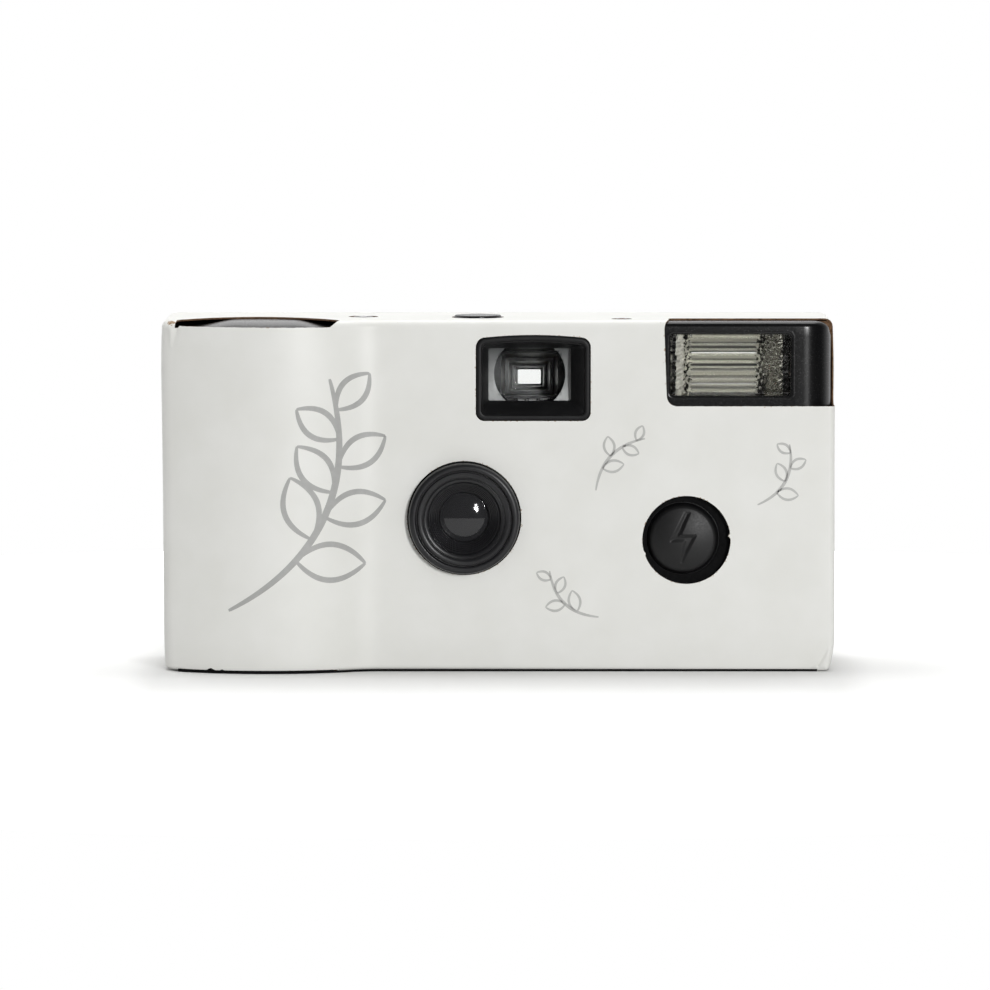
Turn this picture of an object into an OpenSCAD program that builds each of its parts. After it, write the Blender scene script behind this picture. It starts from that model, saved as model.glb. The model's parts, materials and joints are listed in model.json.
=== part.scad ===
// Single-use film camera with flash, in a printed card sleeve.
// Millimetres. +Z is up, +X is the viewer's right, the front faces -Y.

/* [Overall] */
// Width over the card sleeve
body_w = 117; // [115:0.5:122]
// Height over the card sleeve
body_h = 61; // [60.5:0.25:63]
// Depth from the flat front to the back, over the card
flat_d = 28.5; // [28:0.25:29.5]
// Thickness of the card
card_t = 0.5; // [0.35:0.05:0.7]
// Wall of the plastic casing
wall = 1.4; // [1.2:0.05:1.6]

/* [Film] */
// Radius of the film cartridge
cart_r = 12.5; // [12.3:0.05:12.7]
// How far the thumb wheel stands out of the back
wheel_proud = 1.25; // [0.9:0.05:1.5]
// Height of the thumb wheel's rim
wheel_t = 4.6; // [3.6:0.1:5]

/* [Lens] */
// Radius of the lens ring
ring_r = 9.85; // [9.2:0.05:10.4]
// How far the lens ring stands out of the card
ring_proud = 2.4; // [1.8:0.1:3]

/* [Finder] */
// Width of the finder's front lens
finder_w = 14.3; // [13:0.1:15]
// Height of the finder's front lens
finder_h = 9.2; // [8:0.1:9.6]

/* [Flash] */
// Width of the flash window
flash_w = 19.8; // [18:0.1:20.6]
// Height of the flash window
flash_h = 10.8; // [9.6:0.1:11]
// Radius of the flash button
flash_button_r = 6.1; // [5:0.1:6.5]

/* [Release] */
// Radius of the shutter button
button_r = 4.4; // [3.8:0.1:4.8]
// Travel of the shutter button
press = 1.2; // [0.9:0.05:1.3]

/* [Hidden] */
$fn = 48;

// Gaps between pieces
card_gap = 0.15;
seat_gap = 0.1;
pin_gap = 0.06;
run_gap = 0.3;
joint_gap = 0.05;

// Fixed sizes of bought-in pieces
film_t = 0.2;
battery_r = 5.25;

// The film, its gate and the battery fill what the height, the width and the depth leave
cart_h = body_h - 17;
film_h = cart_h - 9;
gate_h = film_h - 11;
gate_w = body_w - 2 * cart_r - 56;
battery_l = gate_w + 8.5;
roll_r = (flat_d - 12.2) / 2;
core_r = roll_r - 3.65;

// Insets of the casing from the card's outer face
case_in = card_t + card_gap;
room_in = case_in + wall;

// The thumb wheel turns on the cartridge's axis and has to clear the front
wheel_r = wheel_proud + room_in + run_gap + cart_r;
bulge = wheel_r + 2 * run_gap + cart_r + 2 * room_in - flat_d;
depth = flat_d + bulge + wheel_proud;

// Depth positions
y_front = -depth / 2;
y_flat = y_front + bulge;
y_back = y_flat + flat_d;
y_case = y_flat + case_in;
y_room = y_flat + room_in;
y_rear = y_back - room_in;
y_part = y_rear - 7;
y_film = y_rear - 1.2 - film_t;
y_plate = y_room + 1.8;
plate_t = 1.2;
y_wall = y_plate + plate_t + 1.5;
wall_t = 1.2;

// Heights
z_floor = room_in;
z_roof = body_h - room_in;
base_z = z_floor + seat_gap;
base_t = 2.2;
base_top = base_z + base_t;
cart_z = base_top + 0.35;
lens_z = cart_z + cart_h / 2;
film_z = lens_z - film_h / 2;
film_top = lens_z + film_h / 2;
deck_z = cart_z + cart_h + 0.4;
deck_t = 1.2;
deck_top = deck_z + deck_t;
wheel_z = deck_top + 0.9;

// Cartridge, lens and supply spool along the width
cart_x = -body_w / 2 + room_in + run_gap + wheel_r;
cart_y = y_rear - run_gap - cart_r;
chamber_r = cart_r + run_gap;
chamber_wall = 0.9;
chamber_out = chamber_r + chamber_wall;
lip_x = cart_x + cart_r - 1.1;
lens_x = cart_x + chamber_out + 1.35 + gate_w / 2 + 1.2;
web_x = cart_x + chamber_out - 1.25;
sup_x = lens_x + gate_w / 2 + 16.8;
sup_y = y_film - joint_gap - roll_r;
sup_in = roll_r + 0.6;
sup_out = sup_in + 0.9;

// Sleeve curve round the cartridge
arch_half = cart_x + body_w / 2 - 1.5;
arch_r = (arch_half * arch_half + bulge * bulge) / (2 * bulge);
arch_mid = [cart_x, y_front + arch_r];
blend_r = 12;
left_r = 4;
card_edge_r = 1.2;
case_edge_r = 5;
rear_edge_r = 2.6;

// Lens ring and lens
y_ring = y_flat - ring_proud;
ring_neck = ring_r - 0.95;
lens_r = 5.2;
lens_hole = 4.2;
stop_r = 1.4;

// Finder
finder_x = lens_x + finder_w / 2 + 4.2;
finder_z = body_h - 9.6;
bezel_x0 = finder_x - finder_w / 2 - 2.05;
bezel_x1 = finder_x + finder_w / 2 + 3.25;
bezel_z0 = finder_z - finder_h / 2 - 2.8;
bezel_z1 = finder_z + finder_h / 2 + 2.3;
y_bezel = y_flat + 0.1;
y_finder = y_room + 3.2;
tube_y0 = y_finder + seat_gap;
tube_y1 = y_rear - 1.1;
eye_w = 8;
eye_h = 5.6;

// Flash
flash_x1 = body_w / 2 - 8.8;
flash_x0 = flash_x1 - flash_w;
flash_z = body_h - 7.8;
flash_z0 = flash_z - flash_h / 2;
flash_z1 = flash_z + flash_h / 2;
flash_cut_x = flash_x0 - 1.1;
flash_cut_z = flash_z0 - 1.7;
flash_cut_d = 6.3;
flash_tube_y = y_room + 5.4;
reflector_y0 = y_room + 1;
reflector_y1 = y_room + 7.8;

// Circuit board
board_y = y_room + 2.4;
board_t = 1;
board_back = board_y + board_t;
board_x0 = sup_x - 8.1;
board_x1 = body_w / 2 - room_in - 0.9;
board_z0 = 8;
board_z1 = flash_z0 - 2.6;
lamp_x = bezel_x1 + 0.432 * (flash_cut_x - bezel_x1);
lamp_y = board_y + board_t / 2;
lamp_z = body_h - 11;
cap_r = 4.6;
cap_x = board_x1 - 6.3;
cap_y = board_back + 0.25 + cap_r;
fb_x = board_x1 - 23.45;
fb_z = lens_z - 3.2;

// Battery under the light box
battery_x = cart_x + chamber_out + 0.9;
battery_y = y_room + 0.5 + battery_r;
battery_z = base_top + 0.15 + battery_r;

// Shutter button and levers
button_x = lens_x + 2.35;
button_y = y_wall + 4.4;
stem_x = lens_x - 0.05;
stem_y = y_wall - 1.05;
stem_r = 0.9;
lever_y0 = y_wall - 1.2;
lever_y1 = y_wall - 0.3;
release_x = lens_x - 7.4;
release_z = deck_z - 3.3;
striker_x = lens_x + 8;
striker_z = release_z - 5.3;
blade_x = striker_x;
blade_z = lens_z + 4.8;
kick_z = (striker_z + blade_z) / 2;
blade_y0 = y_wall - 0.9;
blade_y1 = y_wall - 0.6;

// Film transport
tooth_r = 6.4;
sprocket_x = cart_x + chamber_out + tooth_r + 0.45;
sprocket_y = y_film - 0.25 - tooth_r;
sprocket_z = film_top - 4.1;
count_r = 8.6;
count_x = cart_x + 10.6;
count_y = cart_y - 1.2;
count_z0 = z_roof - 1.9;
count_z1 = z_roof - 0.6;
count_window_x = count_x + 6;
finger_r = norm([sprocket_x - count_x, sprocket_y - count_y]) - count_r - run_gap;

// Small builders

// A block between two corners
module block(x0, x1, y0, y1, z0, z1) {
    translate([x0, y0, z0]) cube([x1 - x0, y1 - y0, z1 - z0]);
}

// Round rods along each axis
module rod_x(y, z, x0, x1, r) {
    translate([x0, y, z]) rotate([0, 90, 0]) cylinder(r = r, h = x1 - x0);
}
module rod_y(x, z, y0, y1, r) {
    translate([x, y0, z]) rotate([-90, 0, 0]) cylinder(r = r, h = y1 - y0);
}
module rod_z(x, y, z0, z1, r) {
    translate([x, y, z0]) cylinder(r = r, h = z1 - z0);
}

// A drawing in X and Z, pushed along Y from y0 to y1
module push_y(y0, y1) {
    translate([0, y1, 0]) rotate([90, 0, 0]) linear_extrude(y1 - y0) children();
}

// A drawing in Y and Z, pushed along X from x0 to x1
module push_x(x0, x1) {
    translate([x0, 0, 0]) rotate([90, 0, 90]) linear_extrude(x1 - x0) children();
}

// A profile of radius and distance, turned about an axis along Y that starts at y0
module turn_y(x, z, y0) {
    translate([x, y0, z]) rotate([-90, 0, 0]) rotate_extrude() children();
}

function arc(mid, r, a0, a1, n) =
    [for (i = [0 : n]) mid + r * [cos(a0 + (a1 - a0) * i / n), sin(a0 + (a1 - a0) * i / n)]];

// A rectangle with round corners, and a top edge that rises in the middle
function window_points(x0, x1, z0, z1, r, rise) = concat(
    arc([x0 + r, z0 + r], r, 180, 270, 6),
    arc([x1 - r, z0 + r], r, 270, 360, 6),
    arc([x1 - r, z1 - rise - r], r, 0, 90, 6),
    rise == 0 ? [] : [for (i = [1 : 9]) [x1 - r - (x1 - x0 - 2 * r) * i / 10,
        z1 - rise * pow(2 * i / 10 - 1, 2)]],
    arc([x0 + r, z1 - rise - r], r, 90, 180, 6));

// Outline of the camera from above, moved in by an inset
function outline(inset, edge) =
    let (half = body_w / 2 - inset,
        r_arch = arch_r - inset,
        r_left = left_r - inset,
        left_mid = [-half + r_left,
            arch_mid.y - sqrt(pow(r_arch - r_left, 2) - pow(-half + r_left - arch_mid.x, 2))],
        blend_y = y_flat - blend_r,
        blend_mid = [arch_mid.x + sqrt(pow(arch_r + blend_r, 2) - pow(blend_y - arch_mid.y, 2)),
            blend_y],
        a_left = atan2(left_mid.y - arch_mid.y, left_mid.x - arch_mid.x) + 360,
        a_blend = atan2(blend_mid.y - arch_mid.y, blend_mid.x - arch_mid.x) + 360,
        r_rear = rear_edge_r - inset)
    concat(
        arc(left_mid, r_left, 180, a_left, 6),
        arc(arch_mid, r_arch, a_left, a_blend, 24),
        arc(blend_mid, blend_r + inset, a_blend - 180, 90, 8),
        arc([half - edge, y_flat + inset + edge], edge, 270, 360, 8),
        arc([half - r_rear, y_back - inset - r_rear], r_rear, 0, 90, 6),
        arc([-half + r_rear, y_back - inset - r_rear], r_rear, 90, 180, 6));

module hull_block(inset, edge, z0, z1) {
    translate([0, 0, z0]) linear_extrude(z1 - z0) polygon(outline(inset, edge));
}

// Four-sided taper along Y about an axis, by half sizes at each end
module taper(x, z, y0, y1, half_x0, half_z0, half_x1, half_z1) {
    big = half_x0 + half_x1 + half_z0 + half_z1;
    intersection() {
        translate([x, 0, z - big]) linear_extrude(2 * big)
            polygon([[-half_x0, y0], [half_x0, y0], [half_x1, y1], [-half_x1, y1]]);
        translate([0, 0, z]) push_x(x - big, x + big)
            polygon([[y0, -half_z0], [y1, -half_z1], [y1, half_z1], [y0, half_z0]]);
    }
}

// Round wire along a list of points, as rings of six joined up; across is never along the path
module wire(path, r, across) {
    n = len(path);
    sides = 6;
    function heading(i) = path[min(i + 1, n - 1)] - path[max(i - 1, 0)];
    function unit(v) = v / norm(v);
    points = [for (i = [0 : n - 1]) let (d = unit(heading(i)), s = unit(cross(d, across)), t = cross(d, s))
        for (k = [0 : sides - 1]) path[i] + r * (s * cos(360 * k / sides) + t * sin(360 * k / sides))];
    function at(i, k) = i * sides + k % sides;
    lower = [for (i = [0 : n - 2]) for (k = [0 : sides - 1]) [at(i, k), at(i + 1, k), at(i + 1, k + 1)]];
    upper = [for (i = [0 : n - 2]) for (k = [0 : sides - 1]) [at(i, k), at(i + 1, k + 1), at(i, k + 1)]];
    first = [for (k = [0 : sides - 1]) k];
    last = [for (k = [0 : sides - 1]) at(n - 1, sides - 1 - k)];
    polyhedron(points, concat(lower, upper, [first, last]));
}

// Casing

module flash_cut(grow) {
    x0 = flash_cut_x - grow;
    z0 = flash_cut_z - grow;
    far_x = body_w / 2 + 2;
    far_z = body_h + 2;
    push_y(y_flat - 2, y_flat + flash_cut_d + grow)
        polygon(concat(arc([x0 + 2.5, z0 + 2], 2, 180, 270, 6), [[far_x, z0], [far_x, far_z], [x0, far_z]]));
}

// Openings where the card leaves the rounded front of the cartridge bare, at the top and bottom
module crescent(z0, z1, back_y) {
    x0 = -body_w / 2 + 1;
    x1 = cart_x + 13.4;
    translate([0, 0, z0]) linear_extrude(z1 - z0)
        polygon([[x0 + 0.5, back_y], [x1 - 3, back_y], [x1 + 4, y_flat - 0.8], [x1 + 4, y_front - 1],
            [x0, y_front - 1], [x0, y_flat + 1.5]]);
}

module card_sleeve() color("white") difference() {
    hull_block(0, card_edge_r, 0, body_h);
    hull_block(card_t, card_edge_r - card_t, card_t, body_h - card_t);
    rod_y(lens_x, lens_z, y_flat - 1, y_case, ring_r + 0.15);
    push_y(y_flat - 1, y_case)
        polygon(window_points(bezel_x0 - 0.2, bezel_x1 + 0.2, bezel_z0 - 0.2, bezel_z1 + 0.2, 1.6, 0.6));
    flash_cut(0);
    rod_y(fb_x + 0.6, fb_z - 0.6, y_flat - 1, y_case, flash_button_r + 1.55);
    rod_z(button_x, button_y, body_h - case_in, body_h + 1, button_r + 0.6);
    rod_z(count_window_x, count_y, body_h - case_in, body_h + 1, 2.6);
    rod_z(lamp_x, lamp_y, body_h - case_in, body_h + 1, 1.8);
    crescent(body_h - 0.8, body_h + 1, y_flat + 4);
    crescent(-1, 0.6, y_flat + 0.5);
    push_y(y_back - case_in, y_back + 1)
        polygon(window_points(finder_x - 5.6, finder_x + 5.6, finder_z - 4.4, finder_z + 4.4, 1.2, 0));
    push_y(y_back - case_in, y_back + 1)
        polygon(window_points(cart_x - 11, cart_x + 11, wheel_z - 0.6, wheel_z + wheel_t + 0.6, 1.5, 0));
}

module finder_funnel() {
    out_x = (bezel_x1 - bezel_x0) / 2 - 0.8;
    out_z = (bezel_z1 - bezel_z0) / 2 - 0.8;
    mid_x = (bezel_x0 + bezel_x1) / 2;
    mid_z = (bezel_z0 + bezel_z1) / 2;
    taper(mid_x, mid_z, y_bezel - 0.5, y_bezel + 1.2, out_x, out_z, out_x - 0.3, out_z - 0.3);
    taper(finder_x, finder_z, y_bezel - 1, y_finder + 0.5, finder_w / 2 + 0.6, finder_h / 2 + 0.6,
        finder_w / 2, finder_h / 2);
}

module front_cover() color("dimgray") difference() {
    union() {
        difference() {
            intersection() {
                hull_block(case_in, case_edge_r, case_in, body_h - case_in);
                block(-body_w, body_w, -depth, y_part, 0, body_h);
            }
            hull_block(room_in, case_edge_r - wall, z_floor, z_roof);
        }
        push_y(y_bezel, y_finder)
            polygon(window_points(bezel_x0, bezel_x1, bezel_z0, bezel_z1, 1.5, 0.6));
        for (place = [[board_x0 + 5, board_z0 + 4], [board_x1 - 3.4, board_z0 + 2],
                [board_x1 - 3.4, board_z1 - 3]])
            rod_y(place.x, place.y, y_room - 0.2, board_y - joint_gap, 1.5);
        rod_z(count_x, count_y, count_z0 - 0.3, z_roof + 0.2, 1);
    }
    finder_funnel();
    rod_y(lens_x, lens_z, y_front, y_room + 1, ring_neck + seat_gap);
    push_y(y_case - 2, y_room + 1)
        polygon(window_points(flash_x0, flash_x1, flash_z0, flash_z1, 0.8, 0));
    rod_y(fb_x, fb_z, y_case - 2, y_room + 1, flash_button_r + 0.2);
    rod_z(button_x, button_y, z_roof - 1, body_h, button_r + 0.12);
    rod_z(count_window_x, count_y, z_roof - 1, body_h, 2.2);
    rod_z(lamp_x, lamp_y, z_roof - 1, body_h, 1.35);
}

module rear_cover() color("dimgray") difference() {
    union() {
        difference() {
            intersection() {
                hull_block(case_in, case_edge_r, case_in, body_h - case_in);
                block(-body_w, body_w, y_part + joint_gap, depth, 0, body_h);
            }
            hull_block(room_in, case_edge_r - wall, z_floor, z_roof);
        }
        for (z = [film_z + 1, lens_z - 6, lens_z + 4.8, film_top - 2.2])
            block(lens_x - gate_w / 2 - 1, lens_x + gate_w / 2 + 1,
                y_film + film_t + seat_gap, y_rear + 0.2, z, z + 1.2);
    }
    push_y(y_rear - 1, y_back)
        polygon(window_points(finder_x - eye_w / 2 - 0.6, finder_x + eye_w / 2 + 0.6,
            finder_z - eye_h / 2 - 0.6, finder_z + eye_h / 2 + 0.6, 0.8, 0));
    block(cart_x - 11.4, cart_x + 11.4, y_rear - 1, y_back, wheel_z - 0.4, wheel_z + wheel_t + 0.4);
}

// Main frame

module half_chamber(x, y, inner, outer, z0, z1, cut) {
    difference() {
        rod_z(x, y, z0, z1, outer);
        rod_z(x, y, z0 - 1, z1 + 1, inner);
        block(x - 2 * outer, x + 2 * outer, cut, cut + 2 * outer, z0 - 1, z1 + 1);
    }
}

module shutter_posts(y0, y1, r) {
    for (dx = [-9.7, 12.6])
        for (dz = [-6.7, 11.3])
            rod_y(lens_x + dx, lens_z + dz, y0, y1, r);
}

module main_frame() color("gray") difference() {
    union() {
        // Base under everything, deck over the cartridge, roof over the supply roll
        block(cart_x, sup_x, y_room + 0.4, y_film - joint_gap, base_z, base_top);
        rod_z(cart_x, cart_y, base_z, base_top, chamber_out);
        rod_z(sup_x, sup_y, base_z, base_top, sup_out);
        block(cart_x, lens_x + 1.9, y_plate - 0.4, y_film - joint_gap, deck_z, deck_top);
        rod_z(cart_x, cart_y, deck_z, deck_top, chamber_out);
        rod_z(sup_x, sup_y, film_top + 0.5, film_top + 1.3, sup_out);
        // Chambers and the webs that join them to the gate
        half_chamber(cart_x, cart_y, chamber_r, chamber_out, base_z, deck_top, cart_y + 7);
        half_chamber(sup_x, sup_y, sup_in, sup_out, base_z, film_top + 1.3, sup_y + 5);
        block(web_x, web_x + 1.2, cart_y + 3.4, y_film - joint_gap, base_z, deck_top);
        block(sup_x - sup_out + 0.1, sup_x - sup_out + 1.2, sup_y + 3, y_film - joint_gap, base_z, film_top + 1.3);
        // Gate, light box and front wall
        block(web_x, sup_x - sup_out + 1.2, y_film - 1.3, y_film - joint_gap, base_z, film_top + 1.3);
        block(finder_x - 5, finder_x + 5, y_film - 1.3, y_film - joint_gap, film_top + 1, finder_z - eye_h / 2 - 1.3);
        taper(lens_x, lens_z, y_wall, y_film - joint_gap, 6.8, 5.8, gate_w / 2 + 1.1, gate_h / 2 + 1.1);
        block(lens_x - 11.3, lens_x + 16.2, y_wall, y_wall + wall_t, lens_z - 8.4, striker_z + 2);
        block(lens_x - 11.3, lens_x + 1.9, y_wall, y_wall + wall_t, lens_z, deck_top);
        shutter_posts(y_plate + plate_t + joint_gap, y_wall + 0.5, 1.4);
        // Pivots of the blade and both levers
        rod_y(blade_x, blade_z, y_plate + plate_t - 0.6, y_wall + 0.5, 0.8);
        rod_y(striker_x, striker_z, y_plate + plate_t - 0.6, y_wall + 0.5, 0.9);
        rod_y(release_x, release_z, y_plate + plate_t - 0.6, y_wall + 0.5, 0.9);
        // Shelf under the sprocket, and pads behind the circuit board
        block(sprocket_x - 3, sprocket_x + 3, sprocket_y - 3, y_film - 1, sprocket_z - 3.2, sprocket_z - 0.7);
        for (z = [film_z + 4, film_top - 4])
            rod_y(sup_x, z, board_back + joint_gap, sup_y - sup_in - 0.2, 1.3);
        // Block for the sync contact
        block(lens_x + 13.6, lens_x + 16.2, y_wall - 1, y_wall + 0.5, striker_z - 1, striker_z + 2);
        // Stops at the battery's ends
        for (x = [battery_x - 0.9, battery_x + battery_l + 1.15])
            for (dy = [-4.6, 3.2])
                block(x, x + 0.55, battery_y + dy, battery_y + dy + 1.4, base_z, battery_z + 3);
    }
    rod_z(cart_x, cart_y, base_top, deck_z, chamber_r);
    rod_z(sup_x, sup_y, base_top, film_top + 0.5, sup_in);
    taper(lens_x, lens_z, y_wall + wall_t, y_film + 0.01, 5.5, 4.6, gate_w / 2, gate_h / 2);
    rod_y(lens_x, lens_z, y_wall - 1, y_wall + wall_t + 1, 4);
    rod_z(cart_x, cart_y, base_z - 1, base_top + 1, 4.2);
    rod_z(cart_x, cart_y, deck_z - 1, deck_top + 1, 4.2 + pin_gap);
    rod_z(sup_x, sup_y, base_z + 0.5, base_top + 1, 1.5 + pin_gap);
    rod_z(sup_x, sup_y, film_top, film_top + 3, 1.5 + pin_gap);
    rod_z(sprocket_x, sprocket_y, deck_z - 1, deck_top + 1, 1.5 + pin_gap);
    rod_z(sprocket_x, sprocket_y, sprocket_z - 2.5, sprocket_z, 1 + pin_gap);
    block(sprocket_x - 7, sprocket_x + 7, y_film - 2, y_film + 1, sprocket_z - 0.3, sprocket_z + 1.8);
    rod_z(stem_x, stem_y, deck_z - 1, deck_top + 1, stem_r + pin_gap);
    block(cart_x - 20, web_x + 0.001, cart_y + 7, y_film + 1, base_top, deck_z);
    block(-body_w, body_w, y_rear - 0.25, y_back, 0, body_h);
}

// Lens and shutter

module lens_ring() color("black") turn_y(lens_x, lens_z, y_ring) {
    back = y_room + 1.75 - y_ring;
    seat = y_case - y_ring;
    lens_front = y_room + 0.4 - y_ring;
    polygon([[ring_r - 0.35, 0], [ring_r, 0.35], [ring_r, seat], [ring_neck, seat], [ring_neck, back],
        [lens_r + seat_gap, back], [lens_r + seat_gap, lens_front - joint_gap], [lens_hole, lens_front - joint_gap],
        [lens_hole, lens_front - 0.55], [6.2, 1.4], [6.2, 0.9], [7, 0.9], [7, 0.35], [8, 0.35], [8, 0.7],
        [8.3, 0.7], [8.3, 0]]);
}

// Disc with a flat flange and a domed front
module taking_lens() color("lightblue") {
    dome_r = 4;
    dome_h = 0.7;
    ball_r = (dome_r * dome_r + dome_h * dome_h) / (2 * dome_h);
    lens_front = y_room + 0.4;
    rod_y(lens_x, lens_z, lens_front, lens_front + 1.2, lens_r);
    intersection() {
        translate([lens_x, lens_front - dome_h + ball_r, lens_z]) sphere(r = ball_r);
        rod_y(lens_x, lens_z, lens_front - dome_h - 1, lens_front + 0.2, dome_r + 0.1);
    }
}

module lens_plate() color("gray") difference() {
    union() {
        block(lens_x - 11, lens_x + 14, y_plate, y_plate + plate_t, lens_z - 8.6, striker_z + 2.2);
        block(lens_x - 11, lens_x - 2.2, y_plate, y_plate + plate_t, lens_z, deck_z - 0.3);
        rod_y(lens_x, lens_z, y_plate - 0.12, y_plate + 0.2, lens_r);
    }
    rod_y(lens_x, lens_z, y_plate - 1, y_plate + plate_t + 1, stop_r);
    turn_y(lens_x, lens_z, y_plate - 0.13) polygon([[0, 0], [2.7, 0], [stop_r, 0.9], [0, 0.9]]);
    rod_y(blade_x, blade_z, y_plate - 1, y_plate + plate_t + 1, 0.8 + pin_gap);
    rod_y(striker_x, striker_z, y_plate - 1, y_plate + plate_t + 1, 0.9 + pin_gap);
    rod_y(release_x, release_z, y_plate - 1, y_plate + plate_t + 1, 0.9 + pin_gap);
}

module shutter_blade() color("darkgray") push_y(blade_y0, blade_y1) difference() {
    union() {
        translate([lens_x, lens_z]) circle(r = 2.4);
        translate([blade_x, blade_z]) circle(r = 1.8);
        polygon([[lens_x - 0.6, lens_z + 2], [lens_x + 1, lens_z - 1.6], [blade_x + 0.9, blade_z - 1.5],
            [blade_x - 0.6, blade_z + 1.6]]);
        polygon([[blade_x - 0.5, blade_z + 1], [blade_x + 1, blade_z + 1], [blade_x + 1, kick_z + 0.5],
            [blade_x - 0.5, kick_z + 0.5]]);
    }
    translate([blade_x, blade_z]) circle(r = 0.8 + pin_gap);
}

module striker_lever() color("silver") push_y(lever_y0, lever_y1) difference() {
    union() {
        translate([striker_x, striker_z]) circle(r = 1.8);
        polygon([[striker_x - 2.2, kick_z - 0.5], [striker_x - 0.9, kick_z - 0.5], [striker_x - 0.3, striker_z - 1],
            [striker_x - 1.6, striker_z]]);
        polygon([[striker_x, striker_z - 1.2], [striker_x, striker_z + 1.6], [striker_x - 10.6, striker_z + 2.4],
            [striker_x - 10.6, striker_z + 0.8]]);
    }
    translate([striker_x, striker_z]) circle(r = 0.9 + pin_gap);
}

module release_lever() color("silver") push_y(lever_y0, lever_y1) difference() {
    tip_x = stem_x + 1;
    nose_x = striker_x - 10.6 - 0.5;
    union() {
        translate([release_x, release_z]) circle(r = 1.8);
        polygon([[release_x, release_z - 1.2], [tip_x, release_z], [tip_x, release_z + 1.2], [release_x, release_z + 1.7]]);
        polygon([[release_x - 1.4, release_z], [nose_x - 1.4, striker_z - 0.7], [nose_x, striker_z - 0.7],
            [nose_x, striker_z + 0.3], [release_x + 1.2, release_z - 1]]);
    }
    translate([release_x, release_z]) circle(r = 0.9 + pin_gap);
}

module shutter_button() color("black") {
    cap_z = z_roof - 0.55;
    rod_z(button_x, button_y, cap_z, body_h + press / 3, button_r);
    block(button_x - button_r - 0.9, stem_x + 1.2, stem_y - 1.2, button_y + 1.5, cap_z - 0.8, z_roof - 0.25);
    rod_z(stem_x, stem_y, release_z + 1.6, cap_z, stem_r);
}

// Coil between the deck and the button
module button_spring() color("silver") {
    r = 1.5;
    wire_r = 0.15;
    z0 = deck_top + wire_r + 0.02;
    z1 = z_roof - 1.35 - wire_r - 0.02;
    turns = 5;
    n = 70;
    wire([for (i = [0 : n]) [stem_x + r * cos(360 * turns * i / n), stem_y + r * sin(360 * turns * i / n),
        z0 + (z1 - z0) * i / n]], wire_r, [0, 0, 1]);
}

// A flat coil round a pivot, between the lever and the wall, ending in a straight arm
module pivot_spring(x, z, r, turns, end_angle, arm) {
    wire_r = 0.12;
    y0 = y_wall - 0.15;
    n = 16 * turns;
    coil = [for (i = [0 : n]) let (a = end_angle - 360 * turns * (1 - i / n), out = r + 0.32 * turns * i / n)
        [x + out * cos(a), y0, z + out * sin(a)]];
    tip = coil[n] + arm * [-sin(end_angle), 0, cos(end_angle)];
    wire(concat(coil, [tip]), wire_r, [0, 1, 0]);
}
module striker_spring() color("silver") pivot_spring(striker_x, striker_z, 1.2, 3, 244, 4);
module blade_spring() color("silver") pivot_spring(blade_x, blade_z, 1.1, 2, 200, 4.5);

// Finder

module finder_tube() color("black") difference() {
    taper(finder_x, finder_z, tube_y0, tube_y1, finder_w / 2 + 1, finder_h / 2 + 1, eye_w / 2 + 1.1, eye_h / 2 + 1.1);
    block(finder_x - finder_w / 2 - 0.2, finder_x + finder_w / 2 + 0.2, tube_y0 - 1, tube_y0 + 2.2,
        finder_z - finder_h / 2 - 0.2, finder_z + finder_h / 2 + 0.2);
    taper(finder_x, finder_z, tube_y0 + 2, tube_y1 + 0.01, finder_w / 2 - 0.6, finder_h / 2 - 0.6,
        eye_w / 2 - 0.2, eye_h / 2 - 0.2);
}

module finder_front_lens() color("lightblue") {
    dish_r = 6.2;
    dish_d = 1.3;
    ball_r = (dish_r * dish_r + dish_d * dish_d) / (2 * dish_d);
    y0 = tube_y0 + joint_gap;
    difference() {
        block(finder_x - finder_w / 2 - 0.1, finder_x + finder_w / 2 + 0.1, y0, y0 + 2,
            finder_z - finder_h / 2 - 0.1, finder_z + finder_h / 2 + 0.1);
        translate([finder_x, y0 + dish_d - ball_r, finder_z]) sphere(r = ball_r, $fn = 180);
    }
}

module finder_eyepiece() color("lightblue") {
    y0 = tube_y1 + seat_gap;
    y1 = y_rear - joint_gap;
    y2 = y_back - case_in - 0.3;
    ball_r = 22;
    block(finder_x - eye_w / 2 - 1.4, finder_x + eye_w / 2 + 1.4, y0, y1,
        finder_z - eye_h / 2 - 1.4, finder_z + eye_h / 2 + 1.4);
    intersection() {
        push_y(y1 - 0.1, y2)
            polygon(window_points(finder_x - eye_w / 2 - 0.5, finder_x + eye_w / 2 + 0.5,
                finder_z - eye_h / 2 - 0.5, finder_z + eye_h / 2 + 0.5, 0.75, 0));
        translate([finder_x, y2 - ball_r, finder_z]) sphere(r = ball_r, $fn = 180);
    }
}

// Film transport

module thumb_wheel() color("black") difference() {
    union() {
        rod_z(cart_x, cart_y, wheel_z, wheel_z + wheel_t, wheel_r);
        rod_z(cart_x, cart_y, deck_top + seat_gap, wheel_z + 0.1, 7);
        rod_z(cart_x, cart_y, deck_z + 0.2, wheel_z + 0.1, 4.2);
        for (side = [-1, 1])
            translate([cart_x, cart_y, cart_z + cart_h - 2.8])
                linear_extrude(4) translate([side * 1.55, 0]) square([1.5, 3.4], center = true);
    }
    for (i = [0 : 39])
        translate([cart_x, cart_y, 0]) rotate([0, 0, 9 * i])
            rod_z(wheel_r + 0.25, 0, wheel_z - 1, wheel_z + wheel_t + 1, 0.65);
    difference() {
        rod_z(cart_x, cart_y, wheel_z + wheel_t - 1.2, wheel_z + wheel_t + 1, wheel_r - 2.6);
        rod_z(cart_x, cart_y, wheel_z + wheel_t - 2, wheel_z + wheel_t + 2, 5);
    }
}

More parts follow.
